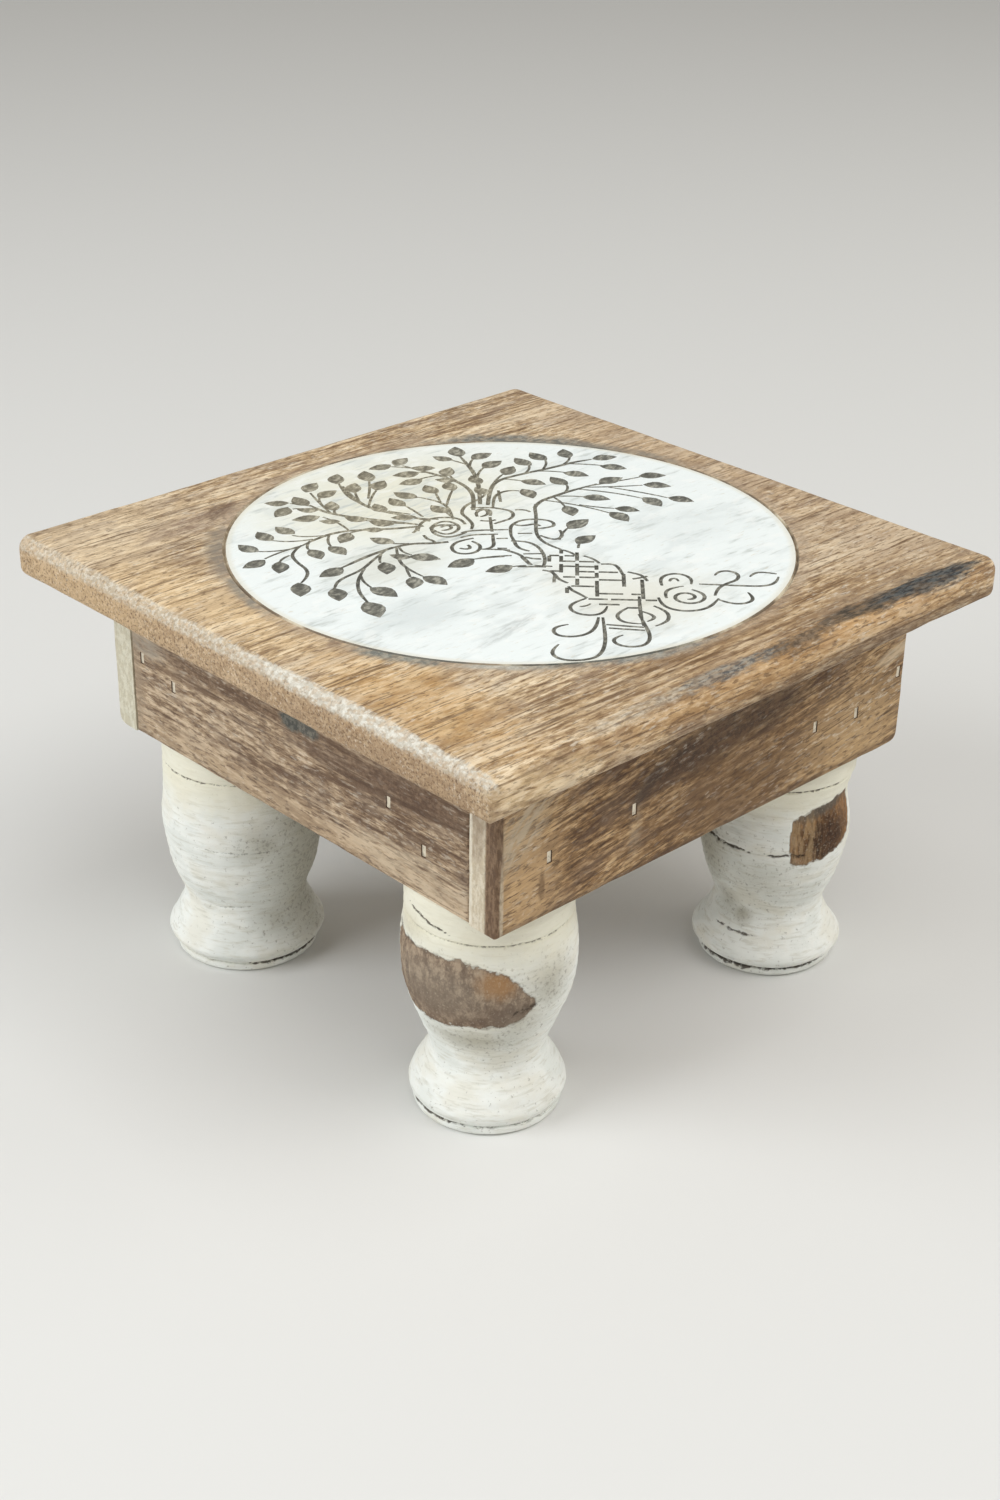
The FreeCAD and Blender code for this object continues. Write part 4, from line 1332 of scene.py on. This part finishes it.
def legOutline(leg):
    # radius and height in mm from the middle of the foot up to the top of the tenon
    foot = [(0, 0)] + [(leg["ring"] + wider, height) for wider, height in legShape["footRing"]]
    neck = leg["neck"]
    collar = [leg["outline"][-1], neck, (legShape["collarRadius"], neck[1] + legShape["collarRise"])]
    made = evened(foot + leg["outline"][:1], legShape["row"])
    made += smoothLine(leg["outline"], legShape["row"])[1:]
    return made + evened(collar + legShape["collarTop"], legShape["row"])[1:] + legShape["tenon"]


def makeLeg(corner, material):
    leg = legs[corner]
    bm = bmesh.new()
    verts = [bm.verts.new((radius * mm, 0, height * mm)) for radius, height in legOutline(leg)]
    edges = [bm.edges.new(pair) for pair in zip(verts, verts[1:])]
    spinRound(bm, verts + edges, legShape["turns"])
    bmesh.ops.remove_doubles(bm, verts=bm.verts, dist=1e-7)
    layers = {name: bm.verts.layers.float.new(name) for name in ("bare", "crack", "dust")}
    seed = Vector((*leg["centre"], 0))
    lowest, highest = legShape["turnedHeights"]
    for vert in bm.verts:
        height = vert.co.z / mm
        radius = vert.co.xy.length / mm
        if radius < legShape["turnedRadius"] or not lowest < height < highest:
            continue
        angle = math.degrees(math.atan2(vert.co.y, vert.co.x)) % 360
        outward = Vector((vert.co.x, vert.co.y, 0)).normalized()
        bare = bareAt(leg, angle, height)
        crack, depth = crackAt(leg, angle, height)
        place = outward * radius + Vector((0, 0, height)) + seed
        swell = legShape["swell"] * noise.noise(place / legShape["swellSize"])
        sway = legShape["toolSway"] * noise.noise(place / legShape["toolSwaySize"])
        tool = legShape["toolMarks"] * math.sin(height * legShape["toolTurn"] + sway)
        brushed = Vector([place[axis] * stretch for axis, stretch in enumerate(legShape["brushStretch"])])
        brush = legShape["brush"][0] * noise.noise(brushed)
        brush += legShape["brush"][1] * noise.noise(place / legShape["brushSize"])
        rough = bare * sum(far * noise.noise(place * often) for far, often in legShape["bareRough"])
        moved = swell + tool * (1 - bare) + brush + rough - legShape["bareDepth"] * bare - depth
        vert.co += outward * moved * mm
        vert[layers["bare"]] = bare
        vert[layers["crack"]] = crack
        vert[layers["dust"]] = dustAndShadeAt(leg, angle, height)
    bmesh.ops.translate(bm, vec=(leg["centre"][0] * mm, leg["centre"][1] * mm, 0), verts=bm.verts)
    bmesh.ops.recalc_face_normals(bm, faces=bm.faces)
    piece = newPiece(corner + "_turned_leg", bm, corner + "_leg", "leg_wood", material)
    shadeByAngle(piece.data)
    print(corner, "leg turned,", len(piece.data.polygons), "faces")


bareMarks = [
    mark((-52.7, -57, 31), (9, 6, 3.6), (98, 76, 62), ragged=0.7, grit=(3, 3, 2), soft=0.6, strength=0.75),
    mark((-61.1, -43.1, 32), (4, 8, 4.4), (104, 80, 62), ragged=0.7, grit=(3, 3, 2), soft=0.6,
        strength=0.7),
    mark((-54.5, -56.1, 39), (3.6, 3.6, 3), (168, 124, 76), ragged=0.6, grit=(2, 2, 2), soft=0.6,
        strength=0.85),
    mark((46.5, -60.4, 37), (16, 9, 10), (108, 78, 50), (150, 110, 68), ragged=0.4, soft=0.6,
        spots=(1.2, 1.2, 4), strength=0.95),
    mark((43.8, -60, 36), (6.2, 5, 5.8), (56, 38, 27), (84, 60, 42), ragged=0.6, grit=(1.6, 1.6, 4),
        strength=0.95),
    mark((42, -59.5, 43.4), (9, 6, 1.7), (92, 86, 78), turn=(0, -12, 0), ragged=0.7, soft=0.5,
        strength=0.85),
    mark((38.4, -58.2, 37.6), (4, 5, 7), (190, 162, 122), ragged=0.9, grit=(0.9, 0.9, 5), strength=0.45,
        broken=1.0),
]


def chalkPaint():
    made, tree, shader = newMaterial("chalkPaint", 0.72, 0.25)
    names = ("bare", "crack", "dust")
    bare, crack, dust = [addNode(tree, "Attribute", attribute_name=name).outputs["Fac"] for name in names]
    brush = grain(tree, (5, 5, 0.7), detail=4.0, rough=0.6)
    speck = grain(tree, (0.9, 0.9, 0.9), rough=0.7)
    flake = grain(tree, (0.5, 0.5, 0.6), centre=(5, 2, 7), detail=2.0, rough=0.7)
    whites = [(0.38, tint(233, 236, 231)), (0.5, tint(242, 244, 239)), (0.64, tint(236, 235, 225))]
    chalk = shades(tree, grain(tree, (12, 12, 7)), whites)
    chalk = layer(tree, chalk, brush, 0.5, 0.68, 0.5, tint(204, 202, 188))
    # the dust zones grey the paint: dust, and painted shade on the legs' sides under the table
    chalk = layer(tree, chalk, dust, 0.0, 0.8, 0.8, tint(176, 172, 155))
    dusty = plus(tree, speck, times(tree, dust, 0.16))
    chalk = layer(tree, chalk, dusty, 0.6, 0.76, 0.7, tint(150, 145, 134))
    # painted warm shade: a cream tint on the top of each leg, where it stands in the shade under the table
    # top
    upper = within(tree, softZone((0, 0, 52), (200, 200, 9), square=True, ragged=0.3, soft=0.6))
    chalk = mixColours(tree, times(tree, upper, 0.7), chalk, tint(238, 233, 210))
    browns = [(0.4, tint(108, 87, 72)), (0.5, tint(140, 119, 99)), (0.6, tint(178, 157, 134))]
    wood = shades(tree, grain(tree, (1.8, 1.8, 2.8), detail=5.0, rough=0.7), browns)
    wood = addMarks(tree, wood, bareMarks)
    # the same zones grey the bare wood, as dust and as painted shade
    wood = layer(tree, wood, dust, 0.0, 0.8, 0.4, tint(150, 142, 128))
    wood = layer(tree, wood, flake, 0.54, 0.74, 0.35, tint(200, 186, 164))
    torn = times(tree, plus(tree, speck, -0.5), 1.6)
    gone = levels(tree, plus(tree, bare, torn), 0.42, 0.58)
    colour = mixColours(tree, gone, chalk, wood)
    edge = times(tree, levels(tree, bare, 0.1, 0.45), levels(tree, bare, 0.95, 0.55))
    colour = mixColours(tree, times(tree, edge, 0.5), colour, tint(116, 105, 92))
    ragged = times(tree, crack, levels(tree, speck, 0.36, 0.56, 0.35, 1.0))
    giveColour(tree, shader, layer(tree, colour, ragged, 0.12, 0.6, 0.9, tint(62, 50, 40)))
    giveBump(tree, shader, plus(tree, times(tree, brush, 0.7), times(tree, speck, 0.5)), 0.2, 0.7)
    return made


def makeLegs():
    paint = chalkPaint()
    for corner in legs:
        makeLeg(corner, paint)


# Pieces carried over from the frame


def steelLook(name, colour, wash, washShare):
    made, tree, shader = newMaterial(name, 0.42)
    shader.inputs["Metallic"].default_value = 0.6
    dirt = grain(tree, (0.8, 0.8, 0.8), detail=4.0)
    giveColour(tree, shader, layer(tree, colour, dirt, 0.35, 0.5, washShare, wash))
    giveBump(tree, shader, dirt, 0.05, 0.6)
    return made


def finishFrame():
    sawn = {
        "turn": (0, 90, 0),
        "deep": tint(120, 86, 54),
        "middle": tint(168, 130, 88),
        "pale": tint(204, 170, 124),
        "washShare": 0.1,
    }
    finishes = {
        "brads": steelLook("bradSteel", tint(196, 186, 168), tint(232, 222, 202), 0.95),
        "screw": steelLook("screwSteel", tint(188, 188, 186), tint(150, 148, 144), 0.5),
        "block": woodLook("sawnWood", sawn),
    }
    for name, node in nodes.items():
        kind = name.split("_")[-1]
        if kind in finishes:
            node.data.materials.clear()
            node.data.materials.append(finishes[kind])


# Floor, light and view

studio = {
    "floorHalf": 3.0,
    "target": (0, 0, 0.05),
    "worldStrength": 0.36,
    "worldColour": (1.0, 0.965, 0.9, 1.0),
    "lamps": {
        "left": {"place": (-1.1, 0.45, 0.78), "size": 0.9, "power": 11.0, "colour": (0.95, 0.98, 1.0)},
        "right": {"place": (0.6, -1.0, 1.05), "size": 0.9, "power": 3.6, "colour": (1.0, 0.97, 0.92)},
        "low": {"place": (1.15, -0.55, 0.28), "size": 0.9, "power": 2.8, "colour": (1.0, 0.98, 0.94)},
        "above": {"place": (-0.1, -0.62, 1.45), "size": 1.1, "power": 10.4, "colour": (0.98, 0.99, 1.0)},
    },
}


def makeStage():
    bm = bmesh.new()
    bmesh.ops.create_grid(bm, x_segments=1, y_segments=1, size=studio["floorHalf"])
    floor = bpy.data.objects.new("floor", meshFrom("floor", bm))
    scene.collection.objects.link(floor)
    paper, tree, shader = newMaterial("floorPaper", 0.9, 0.1)
    giveColour(tree, shader, tint(226, 226, 224))
    floor.data.materials.append(paper)
    scene.world = bpy.data.worlds.new("studio")
    scene.world.use_nodes = True
    background = scene.world.node_tree.nodes["Background"]
    background.inputs["Color"].default_value = studio["worldColour"]
    background.inputs["Strength"].default_value = studio["worldStrength"]
    for name, lamp in studio["lamps"].items():
        data = bpy.data.lights.new(name, "AREA")
        data.energy = lamp["power"]
        data.size = lamp["size"]
        data.color = lamp["colour"]
        made = bpy.data.objects.new(name, data)
        made.location = lamp["place"]
        aim = Vector(studio["target"]) - Vector(lamp["place"])
        made.rotation_euler = aim.to_track_quat("-Z", "Y").to_euler()
        scene.collection.objects.link(made)


makeCamera()
makeStage()
print("camera and studio made")
makeTop()
makeBoards()
makeLegs()
finishFrame()
print("finishes given")

scene.view_settings.view_transform = "Standard"
